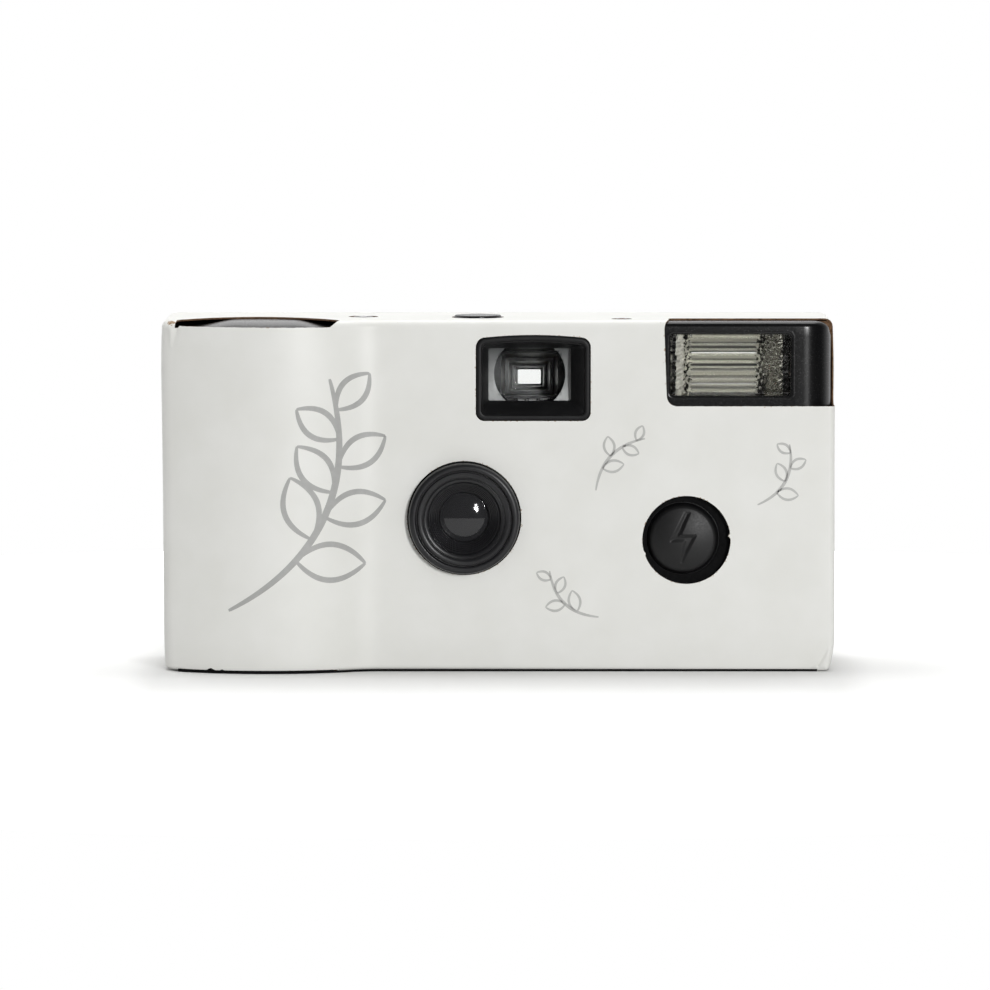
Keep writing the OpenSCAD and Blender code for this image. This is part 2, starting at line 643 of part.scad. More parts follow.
module cartridge_shell() color("gold") difference() {
    union() {
        rod_z(cart_x, cart_y, cart_z + 0.8, cart_z + cart_h - 0.8, cart_r - 0.2);
        block(cart_x, lip_x, y_film + film_t + 0.15, y_film + film_t + 0.6, cart_z + 3, cart_z + cart_h - 3);
        block(cart_x + 0.45 * cart_r, lip_x, y_film - 0.75, y_film - 0.15, cart_z + 3, cart_z + cart_h - 3);
    }
    rod_z(cart_x, cart_y, cart_z, cart_z + cart_h, cart_r - 0.5);
    block(cart_x + 0.32 * cart_r, lip_x + 0.6, y_film - 0.15, y_film + film_t + 0.15, cart_z + 4, cart_z + cart_h - 4);
}

module cartridge_caps() color("silver") for (top = [0, 1])
    translate([0, 0, top ? cart_z + cart_h - 0.75 : cart_z]) difference() {
        rod_z(cart_x, cart_y, 0, 0.75, cart_r - 0.1);
        rod_z(cart_x, cart_y, -1, 2, 5.6);
    }

module cartridge_spool() color("black") difference() {
    union() {
        rod_z(cart_x, cart_y, base_z + 0.3, cart_z + cart_h - 0.05, 3.8);
        rod_z(cart_x, cart_y, cart_z + 1.2, cart_z + cart_h - 1.2, 5.2);
        for (z = [cart_z + 1.2, cart_z + cart_h - 2])
            rod_z(cart_x, cart_y, z, z + 0.8, cart_r - 1);
    }
    difference() {
        rod_z(cart_x, cart_y, cart_z + cart_h - 4, cart_z + cart_h + 1, 3);
        block(cart_x - 0.6, cart_x + 0.6, cart_y - 4, cart_y + 4, cart_z + cart_h - 5, cart_z + cart_h - 0.5);
    }
}

module supply_spool() color("black") {
    rod_z(sup_x, sup_y, base_top + 0.3, film_top + 0.3, core_r - 0.1);
    rod_z(sup_x, sup_y, base_z + 0.7, film_top + 1.3, 1.5);
    rod_z(sup_x, sup_y, film_z - 1.2, film_z - 0.3, roll_r);
}

module film_roll() color("saddlebrown") difference() {
    rod_z(sup_x, sup_y, film_z, film_top, roll_r);
    rod_z(sup_x, sup_y, film_z - 1, film_top + 1, core_r);
}

module film_strip() color("saddlebrown") difference() {
    x0 = lip_x - 3;
    pitch = 4.75;
    last = floor((sup_x - x0 - 6) / pitch);
    block(x0, sup_x, y_film, y_film + film_t, film_z, film_top);
    for (i = [0 : last])
        for (z = [film_z + 2, film_top - 4.8])
            block(x0 + 3.2 + pitch * i, x0 + 5.18 + pitch * i, y_film - 1, y_film + 1, z, z + 2.8);
}

// Toothed wheel on a shaft, with the finger that steps the counter on
module sprocket_wheel() color("white") {
    rod_z(sprocket_x, sprocket_y, sprocket_z, sprocket_z + 1.5, 5.2);
    for (i = [0 : 7])
        translate([sprocket_x, sprocket_y, sprocket_z]) rotate([0, 0, 45 * i + 22.5]) linear_extrude(1.5)
            polygon([[4.5, -0.9], [tooth_r - 0.2, -0.45], [tooth_r, 0], [tooth_r - 0.2, 0.45], [4.5, 0.9]]);
    rod_z(sprocket_x, sprocket_y, sprocket_z - 2.3, sprocket_z + 0.1, 1);
    rod_z(sprocket_x, sprocket_y, sprocket_z, count_z1, 1.5);
    translate([sprocket_x, sprocket_y, count_z0]) rotate([0, 0, 60]) linear_extrude(count_z1 - count_z0)
        polygon([[0, -0.8], [finger_r - 0.1, -0.35], [finger_r - 0.1, 0.35], [0, 0.8]]);
}

module counter_wheel() color("white") difference() {
    rod_z(count_x, count_y, count_z0, count_z1, count_r);
    rod_z(count_x, count_y, count_z0 - 1, count_z1 + 1, 1 + pin_gap);
    for (i = [0 : 35])
        translate([count_x, count_y, 0]) rotate([0, 0, 10 * i])
            rod_z(count_r + 0.2, 0, count_z0 - 1, count_z1 + 1, 0.5);
}

module counter_window() color("lightblue") {
    rod_z(count_window_x, count_y, z_roof - 0.35, body_h - card_t - 0.05, 2.1);
}

// Flash

module flash_lens() color("lightblue") difference() {
    y0 = y_case + 0.3;
    y1 = y_room + 0.85;
    ribs = 10;
    pitch = (flash_h - 0.8) / ribs;
    union() {
        push_y(y0, y1)
            polygon(window_points(flash_x0 + 0.1, flash_x1 - 0.1, flash_z0 + 0.1, flash_z1 - 0.1, 0.7, 0));
        block(flash_x0 - 0.9, flash_x1 + 0.9, y_room + joint_gap, y1, flash_z0 + 0.6, flash_z1 - 0.6);
    }
    for (i = [0 : ribs - 1])
        translate([0, 0, flash_z0 + 0.4 + pitch * i])
            push_x(flash_x0 + 1.5, flash_x1 - 4) polygon([[y1 + 0.2, 0], [y1 - 0.4, pitch / 2], [y1 + 0.2, pitch]]);
}

// Trough with a parabola for its section, open at the front
module flash_reflector() color("silver") {
    half = flash_h / 2 - 0.5;
    x0 = flash_x0 + 0.7;
    x1 = flash_x1 - 0.7;
    t = 0.35;
    steps = 16;
    long = reflector_y1 - reflector_y0;
    curve = [for (i = [0 : steps]) let (s = 2 * i / steps - 1) [reflector_y1 - t - (long - t) * s * s, flash_z + (half - t) * s]];
    shell = [for (i = [0 : steps]) let (s = 1 - 2 * i / steps) [reflector_y1 - long * s * s, flash_z + half * s]];
    difference() {
        push_x(x0, x1) polygon(shell);
        push_x(x0 + t, x1 - t) polygon(concat(curve, [[reflector_y0 - 1, flash_z + half - t],
            [reflector_y0 - 1, flash_z - half + t]]));
        rod_x(flash_tube_y, flash_z, x0 - 1, x1 + 1, 1.6);
    }
}

module flash_tube() color("lightblue") {
    rod_x(flash_tube_y, flash_z, flash_x0 - 2.2, flash_x1 + 2.4, 1.4);
}

// From each end of the tube forward, down and into the board
module flash_leads() color("silver") for (end = [[flash_x0 - 2.25, -0.35], [flash_x1 + 2.45, 0.35]]) {
    x = end.x + end.y;
    z = board_z1 - 2.5;
    y = board_back + 0.5;
    r = 0.3;
    rod_x(flash_tube_y, flash_z, min(end.x, x), max(end.x, x), r);
    rod_y(x, flash_z, y, flash_tube_y, r);
    rod_z(x, y, z, flash_z, r);
    rod_y(x, z, board_back - 0.6, y, r);
    for (corner = [[x, flash_tube_y, flash_z], [x, y, flash_z], [x, y, z]])
        translate(corner) sphere(r = r);
}

module flash_holder() color("black") difference() {
    union() {
        block(flash_x0 - 1.6, flash_x1 + 1.8, board_y - 0.4, reflector_y1 + 1, board_z1 + 0.4, flash_z0 + 0.4);
        block(flash_x0 - 1.6, flash_x1 + 1.8, reflector_y1 + 0.05, reflector_y1 + 1, flash_z0, flash_z + 3);
        for (x = [flash_x0 - 1.6, flash_x1 + 0.8])
            block(x, x + 1, reflector_y0 + 0.6, reflector_y1 + 0.5, flash_z0, flash_z + 3);
    }
    rod_x(flash_tube_y, flash_z, flash_x0 - 5, flash_x1 + 5, 1.45);
    block(flash_x0 - 5, flash_x1 + 5, flash_tube_y - 1.45, flash_tube_y + 1.45, flash_z, flash_z + 4);
}

module circuit_board() color("peru") difference() {
    union() {
        block(board_x0, board_x1, board_y, board_back, board_z0, board_z1);
        block(lamp_x - 2, lamp_x + 2, board_y, board_back, board_z1 - 1, lamp_z - 0.05);
        block(lamp_x - 2, board_x0 + 5, board_y, board_back, board_z1 - 3, board_z1);
    }
    for (x = [flash_x0 - 2.6, flash_x1 + 2.8])
        rod_y(x, board_z1 - 2.5, board_y - 1, board_back + 1, 0.34);
}

module capacitor() color("navy") {
    rod_z(cap_x, cap_y, board_z0 + 1.5, board_z1 - 8.7, cap_r);
    for (dx = [-1.8, 1.8])
        rod_y(cap_x + dx, board_z0 + 2.4, board_back + 0.02, cap_y, 0.35);
}

module transformer() color("khaki") {
    z0 = board_z1 - 6.8;
    z1 = board_z1 - 0.3;
    block(cap_x - 7, cap_x + 2.4, board_back + 0.02, board_back + 1.2, z0, z1);
    block(cap_x - 7, cap_x + 2.4, board_back + 6.6, board_back + 7.8, z0, z1);
    rod_y(cap_x - 2.3, (z0 + z1) / 2, board_back + 1, board_back + 7, (z1 - z0) / 2 - 0.3);
}

module trigger_coil() color("saddlebrown") {
    x = cap_x - 8;
    rod_z(x, board_back + 2.4, board_z0 + 3, board_z0 + 10, 1.9);
    block(x - 1.5, x + 1.5, board_back + 0.02, board_back + 1, board_z0 + 3.5, board_z0 + 9.5);
}

module board_parts() color("tan") {
    x = cap_x - 9.6;
    board_h = board_z1 - board_z0;
    chip_z = board_z0 + 0.38 * board_h;
    block(x - 2.2, x + 2.2, board_back + 0.02, board_back + 3.4, chip_z, chip_z + 4.5);
    for (part = [0.59, 0.685, 0.78])
        rod_x(board_back + 0.92, board_z0 + part * board_h, x - 2.4, x + 2.4, 0.9);
}

module ready_lamp() color("orange") {
    rod_z(lamp_x, lamp_y, lamp_z, lamp_z + 4.2, 1.5);
    translate([lamp_x, lamp_y, lamp_z + 4.2]) sphere(r = 1.5);
}

module lamp_window() color("orangered") {
    rod_z(lamp_x, lamp_y, lamp_z + 6, body_h - 0.1, 1.25);
    rod_z(lamp_x, lamp_y, z_roof - 1.2, z_roof - joint_gap, 2);
}

// A dished cap with a raised bolt, a flange behind the casing and a stem
module flash_button() color("black") {
    face_y = y_case - 0.9;
    flange_y = y_room + 0.1;
    difference() {
        rod_y(fb_x, fb_z, face_y, flange_y + 0.1, flash_button_r);
        rod_y(fb_x, fb_z, face_y - 1, face_y + 0.25, flash_button_r - 0.9);
    }
    push_y(face_y + 0.05, face_y + 0.4)
        polygon([for (p = [[0.6, 2.6], [-1.3, -0.4], [-0.1, -0.4], [-0.9, -2.8], [1.4, 0.5], [0.2, 0.5], [1.5, 2.6]])
            [fb_x + p.x, fb_z + p.y]]);
    rod_y(fb_x, fb_z, flange_y, flange_y + 0.5, flash_button_r + 0.9);
    rod_y(fb_x, fb_z, flange_y + 0.4, flange_y + 0.75, 1.6);
}

module flash_contact() color("gold") push_x(fb_x - 2.2, fb_x + 2.2)
    polygon([[board_y - 0.02, fb_z - 7], [board_y - 0.02, fb_z - 4], [board_y - 0.35, fb_z - 4],
        [y_room + 1.2, fb_z - 0.5], [y_room + 1.2, fb_z + 2.4], [y_room + 0.98, fb_z + 2.4],
        [y_room + 0.98, fb_z - 0.6], [board_y - 0.3, fb_z - 7]]);

module sync_contact() color("gold") {
    x = lens_x + 14.2;
    block(x, x + 1.4, y_wall - 1.32, y_wall - 1.02, lens_z - 4, striker_z + 1.7);
}

// Battery and its contacts

module battery() color("dimgray") {
    rod_x(battery_y, battery_z, battery_x + 0.9, battery_x + battery_l, battery_r);
    rod_x(battery_y, battery_z, battery_x, battery_x + 1, 1.9);
}

module battery_contact_plus() color("gold") {
    block(battery_x - 0.32, battery_x - 0.02, battery_y - 4, battery_y + 4, base_top + 0.05, battery_z + 3);
}

module battery_contact_minus() color("gold") {
    x = battery_x + battery_l;
    block(x + 0.82, x + 1.12, battery_y - 4, battery_y + 4, base_top + 0.05, battery_z + 3);
    rod_x(battery_y, battery_z, x + 0.05, x + 0.9, 2.2);
}

card_sleeve();
front_cover();
rear_cover();
main_frame();
lens_ring();
taking_lens();
lens_plate();
shutter_blade();
blade_spring();
striker_lever();
striker_spring();
release_lever();
shutter_button();
button_spring();
counter_wheel();
counter_window();
thumb_wheel();
cartridge_shell();
cartridge_caps();
cartridge_spool();
supply_spool();
film_roll();
film_strip();
sprocket_wheel();
finder_front_lens();
finder_tube();
finder_eyepiece();
flash_lens();
flash_reflector();
flash_tube();
flash_leads();
flash_holder();
circuit_board();
capacitor();
transformer();
trigger_coil();
board_parts();
ready_lamp();
lamp_window();
flash_button();
flash_contact();
sync_contact();
battery();
battery_contact_plus();
battery_contact_minus();
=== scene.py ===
# %% [markdown]
# # A single-use film camera in its card sleeve
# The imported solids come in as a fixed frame, with every moving piece on its own body. This lesson
# dresses them: each cell explains one piece, builds it as a surface worked out with numpy, and gives
# it the finish of the real material. All sums are in millimetres, and the meshes are in metres.

# %% Load the frame
import json
import math

import bpy
import bmesh
import numpy as np
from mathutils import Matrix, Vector
from mathutils.geometry import delaunay_2d_cdt

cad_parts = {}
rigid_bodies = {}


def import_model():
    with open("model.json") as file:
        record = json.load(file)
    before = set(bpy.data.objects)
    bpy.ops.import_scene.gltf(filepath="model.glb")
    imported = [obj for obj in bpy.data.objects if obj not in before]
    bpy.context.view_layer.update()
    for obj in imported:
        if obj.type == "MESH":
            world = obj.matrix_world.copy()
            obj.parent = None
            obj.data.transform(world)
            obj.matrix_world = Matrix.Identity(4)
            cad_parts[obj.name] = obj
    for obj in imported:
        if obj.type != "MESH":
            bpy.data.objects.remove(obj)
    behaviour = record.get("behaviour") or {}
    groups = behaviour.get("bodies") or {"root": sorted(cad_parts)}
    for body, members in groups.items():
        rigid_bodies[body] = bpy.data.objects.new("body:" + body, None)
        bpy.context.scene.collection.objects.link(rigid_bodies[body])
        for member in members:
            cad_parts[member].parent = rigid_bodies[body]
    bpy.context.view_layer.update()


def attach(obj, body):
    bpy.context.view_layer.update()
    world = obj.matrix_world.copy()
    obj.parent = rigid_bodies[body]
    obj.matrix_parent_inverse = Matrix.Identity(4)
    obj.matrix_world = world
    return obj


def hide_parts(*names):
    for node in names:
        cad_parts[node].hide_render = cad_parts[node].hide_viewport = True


for leftover in list(bpy.data.objects):
    bpy.data.objects.remove(leftover)
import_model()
MM = 0.001
scene = bpy.context.scene
scene.view_settings.view_transform = "Standard"

# %% [markdown]
# ## The camera that takes the picture
# The photograph was taken from far away with a long lens, a little above the middle of the object:
# the front shows almost no perspective and the top is a thin strip. Distance and height come from
# how much the top panel and the bulge of the front shift against the flat front. The scale on the
# flat front then sets the focal length.

# %% Place the camera
PHOTO_PX = 990
FRONT_PX_PER_MM = 5.775
MIDDLE_PX = 497.7
FLAT_Y = -12.475
AIM_Z = 30.72
SHOT_DISTANCE = 1200.0
SHOT_HEIGHT = 125.0
SENSOR_MM = 36.0

aim = Vector(((PHOTO_PX / 2 - MIDDLE_PX) / FRONT_PX_PER_MM, FLAT_Y, AIM_Z)) * MM
eye = Vector((aim.x, (FLAT_Y - SHOT_DISTANCE) * MM, SHOT_HEIGHT * MM))
lens_data = bpy.data.cameras.new("portrait_camera")
lens_data.sensor_width = SENSOR_MM
lens_data.lens = SENSOR_MM * FRONT_PX_PER_MM * ((eye - aim).length / MM) / PHOTO_PX
lens_data.clip_start = 0.05
portrait = bpy.data.objects.new("portrait_camera", lens_data)
portrait.location = eye
portrait.rotation_euler = (aim - eye).to_track_quat("-Z", "Y").to_euler()
scene.collection.objects.link(portrait)
scene.camera = portrait
print("focal length", round(lens_data.lens, 1), "mm")

# %% [markdown]
# ## Small tools for materials
# Every finish is a tree of nodes. One helper adds a node, sets what is constant and links what is
# not. Colours are written as they look on a screen, so one function turns them into the linear light
# that the shaders count in.

# %% Material helpers
def lin(code):
    """An sRGB hex colour as linear red, green, blue and alpha."""
    part = np.array([int(code[i:i + 2], 16) for i in (1, 3, 5)]) / 255
    light = np.where(part <= 0.04045, part / 12.92, ((part + 0.055) / 1.055) ** 2.4)
    return (*light.tolist(), 1.0)


def add(tree, kind, inputs=None, **settings):
    """Add one node: settings are its own fields, inputs are constants to set or sockets to link."""
    node = tree.nodes.new("ShaderNode" + kind)
    for field, value in settings.items():
        setattr(node, field, value)
    for socket, value in (inputs or {}).items():
        if isinstance(value, bpy.types.NodeSocket):
            tree.links.new(value, node.inputs[socket])
        else:
            node.inputs[socket].default_value = value
    return node


def start(name, **sockets):
    """A new material: gives it, its tree, its shader and the place on the object that a pattern reads."""
    material = bpy.data.materials.new(name)
    material.use_nodes = True
    tree = material.node_tree
    shader = tree.nodes["Principled BSDF"]
    for socket, value in sockets.items():
        shader.inputs[socket.replace("_", " ")].default_value = value
    return material, tree, shader, add(tree, "TexCoord").outputs["Object"]


def mottled(name, light, dark, patch, grain, depth, rough, **sockets):
    """A finish that drifts between two tints in patches, with gloss and relief from a finer grain; mm."""
    material, tree, shader, place = start(name, **sockets)
    drift = add(tree, "TexNoise", {"Vector": place, "Scale": 1 / (patch * MM), "Detail": 3.0})
    share = add(tree, "MapRange", {"Value": drift.outputs["Fac"], "From Min": 0.3, "From Max": 0.7})
    tint = add(tree, "Mix", {0: share.outputs[0], 6: lin(dark), 7: lin(light)}, data_type="RGBA")
    fine = add(tree, "TexNoise", {"Vector": place, "Scale": 1 / (grain * MM), "Detail": 2.0})
    gloss = add(tree, "MapRange", {"Value": fine.outputs["Fac"], "From Min": 0.3, "From Max": 0.7,
                                   "To Min": rough[0], "To Max": rough[1]})
    relief = add(tree, "Bump", {"Height": fine.outputs["Fac"], "Strength": 0.6, "Distance": depth * MM})
    tree.links.new(tint.outputs[2], shader.inputs["Base Color"])
    tree.links.new(gloss.outputs[0], shader.inputs["Roughness"])
    tree.links.new(relief.outputs[0], shader.inputs["Normal"])
    return material, tree, shader, place


def lay_over(tree, shader, share, colour):
    """Lay a second colour over a finish, by a share from 0 to 1."""
    under = shader.inputs["Base Color"].links[0].from_socket
    mixed = add(tree, "Mix", {0: share, 6: under, 7: lin(colour)}, data_type="RGBA")
    tree.links.new(mixed.outputs[2], shader.inputs["Base Color"])


print("material helpers ready")

# %% [markdown]
# ## Floor, world and lamps
# The photograph is a white product shot: a small white table, a white backdrop behind it and a dark
# room behind the photographer, with a cluster of lamps to the right of the lens, a soft box overhead
# and a weak one to the left. The table takes the shadow as a white table would, except beside both
# ends of the camera, where painted light thins it, and for rays from the camera it fades into the white
# of the backdrop. Mirrors see the room as it is: white behind the camera body, dark in front of it, so
# black plastic stays black and the lens shows half a table.

# %% Build the studio
TABLE_R, TABLE_STEPS = 0.24, 96
FOOTPRINT = (0.0585, 0.017, 0.0)
RIM_REACH, RIM_LIFT = 0.008, 0.04
FADE_REACH, FADE_LIFT = 0.16, 0.9
# Painted light: beside both ends the table glows brighter, which thins the shadow there.
SIDE_SHADOW_REACH, SIDE_SHADOW_LIFT = 0.006, 0.14
SKY_LIGHT, ROOM_LIGHT = 0.31, 0.07
KEY_HEADS = ((0.36, 0.25), (0.46, 0.26), (0.42, 0.36), (0.44, 0.16))
KEY_Y, KEY_SIZE, KEY_WATTS = -1.15, 0.06, 2.0
LAMP_TARGET = (0.0, 0.0, 0.03)


def studio_floor():
    """A matt table: white to the camera, fading into white light further out, with painted light beside both
    ends that thins the shadow there, and grey in what it bounces.
    """
    material, tree, shader, place = start("studio_floor", Roughness=0.9, Specular_IOR_Level=0.1)
    path = add(tree, "LightPath")
    seen = add(tree, "Math", {0: path.outputs["Is Camera Ray"], 1: path.outputs["Is Glossy Ray"]},
               operation="MAXIMUM")
    tint = add(tree, "Mix", {0: seen.outputs[0], 6: lin("#B0B0AF"), 7: lin("#F2F2F1")}, data_type="RGBA")
    tree.links.new(tint.outputs[2], shader.inputs["Base Color"])
    mirrored = add(tree, "VectorMath", {0: place}, operation="ABSOLUTE")
    beyond = add(tree, "VectorMath", {0: mirrored.outputs[0], 1: FOOTPRINT}, operation="SUBTRACT")
    beyond = add(tree, "VectorMath", {0: beyond.outputs[0], 1: (0.0, 0.0, 0.0)}, operation="MAXIMUM")
    far = add(tree, "VectorMath", {0: beyond.outputs[0]}, operation="LENGTH")
    near = add(tree, "MapRange", {"Value": far.outputs["Value"], "From Max": RIM_REACH, "To Max": RIM_LIFT})
    fade = add(tree, "MapRange", {"Value": far.outputs["Value"], "From Max": FADE_REACH, "To Max": FADE_LIFT},
               interpolation_type="SMOOTHSTEP")
    # Painted light beside both ends of the camera: the glow rises quickly past them and thins the shadow.
    ends = add(tree, "SeparateXYZ", {0: beyond.outputs[0]})
    painted_side_light = add(tree, "MapRange", {"Value": ends.outputs["X"], "From Max": SIDE_SHADOW_REACH, "To Max": SIDE_SHADOW_LIFT})
    lift = add(tree, "Math", {0: near.outputs[0], 1: fade.outputs[0]}, operation="ADD")
    lift = add(tree, "Math", {0: lift.outputs[0], 1: painted_side_light.outputs[0]}, operation="ADD")
    share = add(tree, "Math", {0: path.outputs["Is Camera Ray"], 1: lift.outputs[0]}, operation="MULTIPLY")
    glow = add(tree, "Emission", {"Color": lin("#FFFFFF"), "Strength": share.outputs[0]})
    both = add(tree, "AddShader", {0: shader.outputs[0], 1: glow.outputs[0]})
    tree.links.new(both.outputs[0], tree.nodes["Material Output"].inputs["Surface"])
    return material


def studio_world():
    """White to the camera; to mirrors and through glass, bright behind the object and dark in front of it."""
    world = bpy.data.worlds.new("studio_world")
    world.use_nodes = True
    tree = world.node_tree
    tree.nodes.clear()
    path = add(tree, "LightPath")
    bent = add(tree, "Math", {0: path.outputs["Is Glossy Ray"], 1: path.outputs["Is Transmission Ray"]},
               operation="MAXIMUM")
    way = add(tree, "TexCoord").outputs["Generated"]
    depth = add(tree, "SeparateXYZ", {0: way})
    room = add(tree, "MapRange", {"Value": depth.outputs["Y"], "From Min": -0.2, "From Max": 0.6,
                                  "To Min": ROOM_LIGHT, "To Max": 1.0}, interpolation_type="SMOOTHSTEP")
    mirror = add(tree, "Background", {"Color": lin("#FFFFFF"), "Strength": room.outputs[0]})
    soft = add(tree, "Background", {"Color": lin("#FFFFFF"), "Strength": SKY_LIGHT})
    white = add(tree, "Background", {"Color": lin("#FFFFFF"), "Strength": 1.0})
    lit = add(tree, "MixShader", {0: bent.outputs[0], 1: soft.outputs[0], 2: mirror.outputs[0]})
    shown = add(tree, "MixShader", {0: path.outputs["Is Camera Ray"], 1: lit.outputs[0], 2: white.outputs[0]})
    add(tree, "OutputWorld", {"Surface": shown.outputs[0]})
    return world


def soft_box(name, place, target, size, watts):
    """An area lamp at a place in metres that looks at a target."""
    lamp = bpy.data.lights.new(name, "AREA")
    lamp.shape = "RECTANGLE"
    lamp.size, lamp.size_y = size
    lamp.energy = watts
    holder = bpy.data.objects.new(name, lamp)
    holder.location = place
    holder.rotation_euler = (Vector(target) - Vector(place)).to_track_quat("-Z", "Y").to_euler()
    scene.collection.objects.link(holder)
    return holder


turn = np.linspace(0, 2 * np.pi, TABLE_STEPS, endpoint=False)
disc = np.column_stack([TABLE_R * np.cos(turn), TABLE_R * np.sin(turn), 0 * turn])
floor_mesh = bpy.data.meshes.new("studio_floor")
floor_mesh.from_pydata(disc.tolist(), [], [list(range(TABLE_STEPS))])
floor_mesh.materials.append(studio_floor())
floor_piece = bpy.data.objects.new("studio_floor", floor_mesh)
scene.collection.objects.link(floor_piece)
scene.world = studio_world()
for across, height in KEY_HEADS:
    head = soft_box("key_head", (across, KEY_Y, height), LAMP_TARGET, (KEY_SIZE, KEY_SIZE), KEY_WATTS)
    head.visible_transmission = False
soft_box("top_box", (0.0, 0.22, 0.76), LAMP_TARGET, (0.75, 0.55), 4.2)
soft_box("side_box", (-0.95, 0.1, 0.45), LAMP_TARGET, (0.5, 0.5), 2.5)
print("studio with", len(bpy.data.lights), "lamps")

# %% [markdown]
# ## Tools for surfaces
# Three ways of making a surface cover the whole camera. A turned piece carries a profile round an
# axis. A loft joins a stack of closed loops. A sheet with holes is triangulated flat, between its
# edge loops, and then bent into place. A sheet gets its thickness by moving a copy of it inwards and
# closing the rim, so that outside, inside and cut edge can each have a finish. The first cell has
# the shapes, and the second one has what works on any of them.

# %% Surface helpers
def lattice(rows, columns, ring=True):
    """Four-sided faces between neighbours on a grid; a ring also joins the last column to the first."""
    last = columns if ring else columns - 1
    i, j = np.meshgrid(np.arange(rows - 1), np.arange(last), indexing="ij")
    a = i * columns + j
    b = i * columns + (j + 1) % columns
    return np.stack([a, b, b + columns, a + columns], -1).reshape(-1, 4)


def soften(corners, radius, steps=5):
    """Round an open polyline: each corner is swapped for a parabola from one side to the next."""
    p = np.asarray(corners, float)
    before, corner, after = p[:-2], p[1:-1], p[2:]
    back, ahead = before - corner, after - corner
    back_len = np.linalg.norm(back, axis=1, keepdims=True)
    ahead_len = np.linalg.norm(ahead, axis=1, keepdims=True)
    cut = np.minimum(radius, 0.45 * np.minimum(back_len, ahead_len))
    u = np.linspace(0, 1, steps)[None, :, None]
    a = (corner + back / back_len * cut)[:, None]
    b = (corner + ahead / ahead_len * cut)[:, None]
    curve = (1 - u) ** 2 * a + 2 * u * (1 - u) * corner[:, None] + u ** 2 * b
    return np.vstack([p[:1], curve.reshape(-1, 2), p[-1:]])


def turned(profile, middle, axis="y", steps=128):
    """Radius and distance carried round an axis: (r cos a, r sin a) across it, the distance along it."""
    profile = np.asarray(profile, float)
    angle = np.linspace(0, 2 * np.pi, steps, endpoint=False)
    across = profile[:, 0, None] * np.cos(angle)
    up = profile[:, 0, None] * np.sin(angle)
    run = np.repeat(profile[:, 1, None], steps, axis=1)
    stack = [across, run, up] if axis == "y" else [across, up, run]
    return np.stack(stack, -1).reshape(-1, 3) + np.asarray(middle), lattice(len(profile), steps)


def window_loop(x0, x1, z0, z1, r, rise=0.0, side=14, corner=9):
    """A rectangle with round corners; its upper edge may rise in the middle like a shallow arch."""
    angles = np.radians(np.linspace(0, 90, corner))
    arc = np.column_stack([np.cos(angles), np.sin(angles)]) * r
    turn = np.array([[0, -1], [1, 0]])
    mids = np.array([[x1 - r, z1 - r], [x0 + r, z1 - r], [x0 + r, z0 + r], [x1 - r, z0 + r]])
    arcs = [mids[k] + arc @ np.linalg.matrix_power(turn, k).T for k in range(4)]
    sides = [np.linspace(arcs[k][-1], arcs[(k + 1) % 4][0], side, endpoint=False)[1:] for k in range(4)]
    loop = np.vstack([part for pair in zip(arcs, sides) for part in pair])
    across = (2 * loop[:, 0] - x0 - x1) / (x1 - x0)
    loop[:, 1] += rise * (1 - across ** 2) * (loop[:, 1] - z0) / (z1 - z0)
    return loop


def loft(loops, depths):
    """Closed loops in X and Z, each at its own depth Y, joined one to the next."""
    rings = [np.column_stack([loop[:, 0], np.full(len(loop), y), loop[:, 1]])
             for loop, y in zip(loops, depths)]
    return np.vstack(rings), lattice(len(rings), len(loops[0]))


def circle(mid, r, count):
    """A round loop about a middle."""
    angle = np.linspace(0, 2 * np.pi, count, endpoint=False)
    return np.column_stack([mid[0] + r * np.cos(angle), mid[1] + r * np.sin(angle)])


def grid(x, y):
    """Every pair of two rows of places."""
    across, up = np.meshgrid(x, y)
    return np.column_stack([across.ravel(), up.ravel()])


def level(points, value):
    """Points with one more measure, the same for all of them."""
    return np.column_stack([points, np.full(len(points), value)])


def dense(line, step):
    """A polyline with extra points, so that no two neighbours are further apart than a step."""
    line = np.asarray(line, float)
    gaps = np.linalg.norm(np.diff(line, axis=0), axis=1)
    place = np.concatenate([[0], np.cumsum(gaps)])
    cuts = np.concatenate([np.linspace(a, b, max(2, math.ceil((b - a) / step) + 1))[:-1]
                           for a, b in zip(place[:-1], place[1:])] + [place[-1:]])
    return np.column_stack([np.interp(cuts, place, line[:, 0]), np.interp(cuts, place, line[:, 1])])


def inside(points, loops):
    """Even-odd rule: a ray to the right meets the edge loops an odd number of times."""
    a = np.concatenate(loops)
    b = np.concatenate([np.roll(loop, -1, axis=0) for loop in loops])
    rise = np.where(a[:, 1] == b[:, 1], 1.0, b[:, 1] - a[:, 1])
    found = []
    for part in np.array_split(points, max(1, len(points) // 2000)):
        y = part[:, 1:2]
        spans = (a[:, 1] > y) != (b[:, 1] > y)
        meets = a[:, 0] + (y - a[:, 1]) / rise * (b[:, 0] - a[:, 0])
        found.append((spans & (meets > part[:, :1])).sum(1) % 2 == 1)
    return np.concatenate(found)


def nearest(points, marks):
    """Distance from each point to the nearest mark."""
    parts = np.array_split(points, max(1, len(points) // 2000))
    return np.sqrt(np.concatenate([((part[:, None] - marks[None]) ** 2).sum(-1).min(1) for part in parts]))


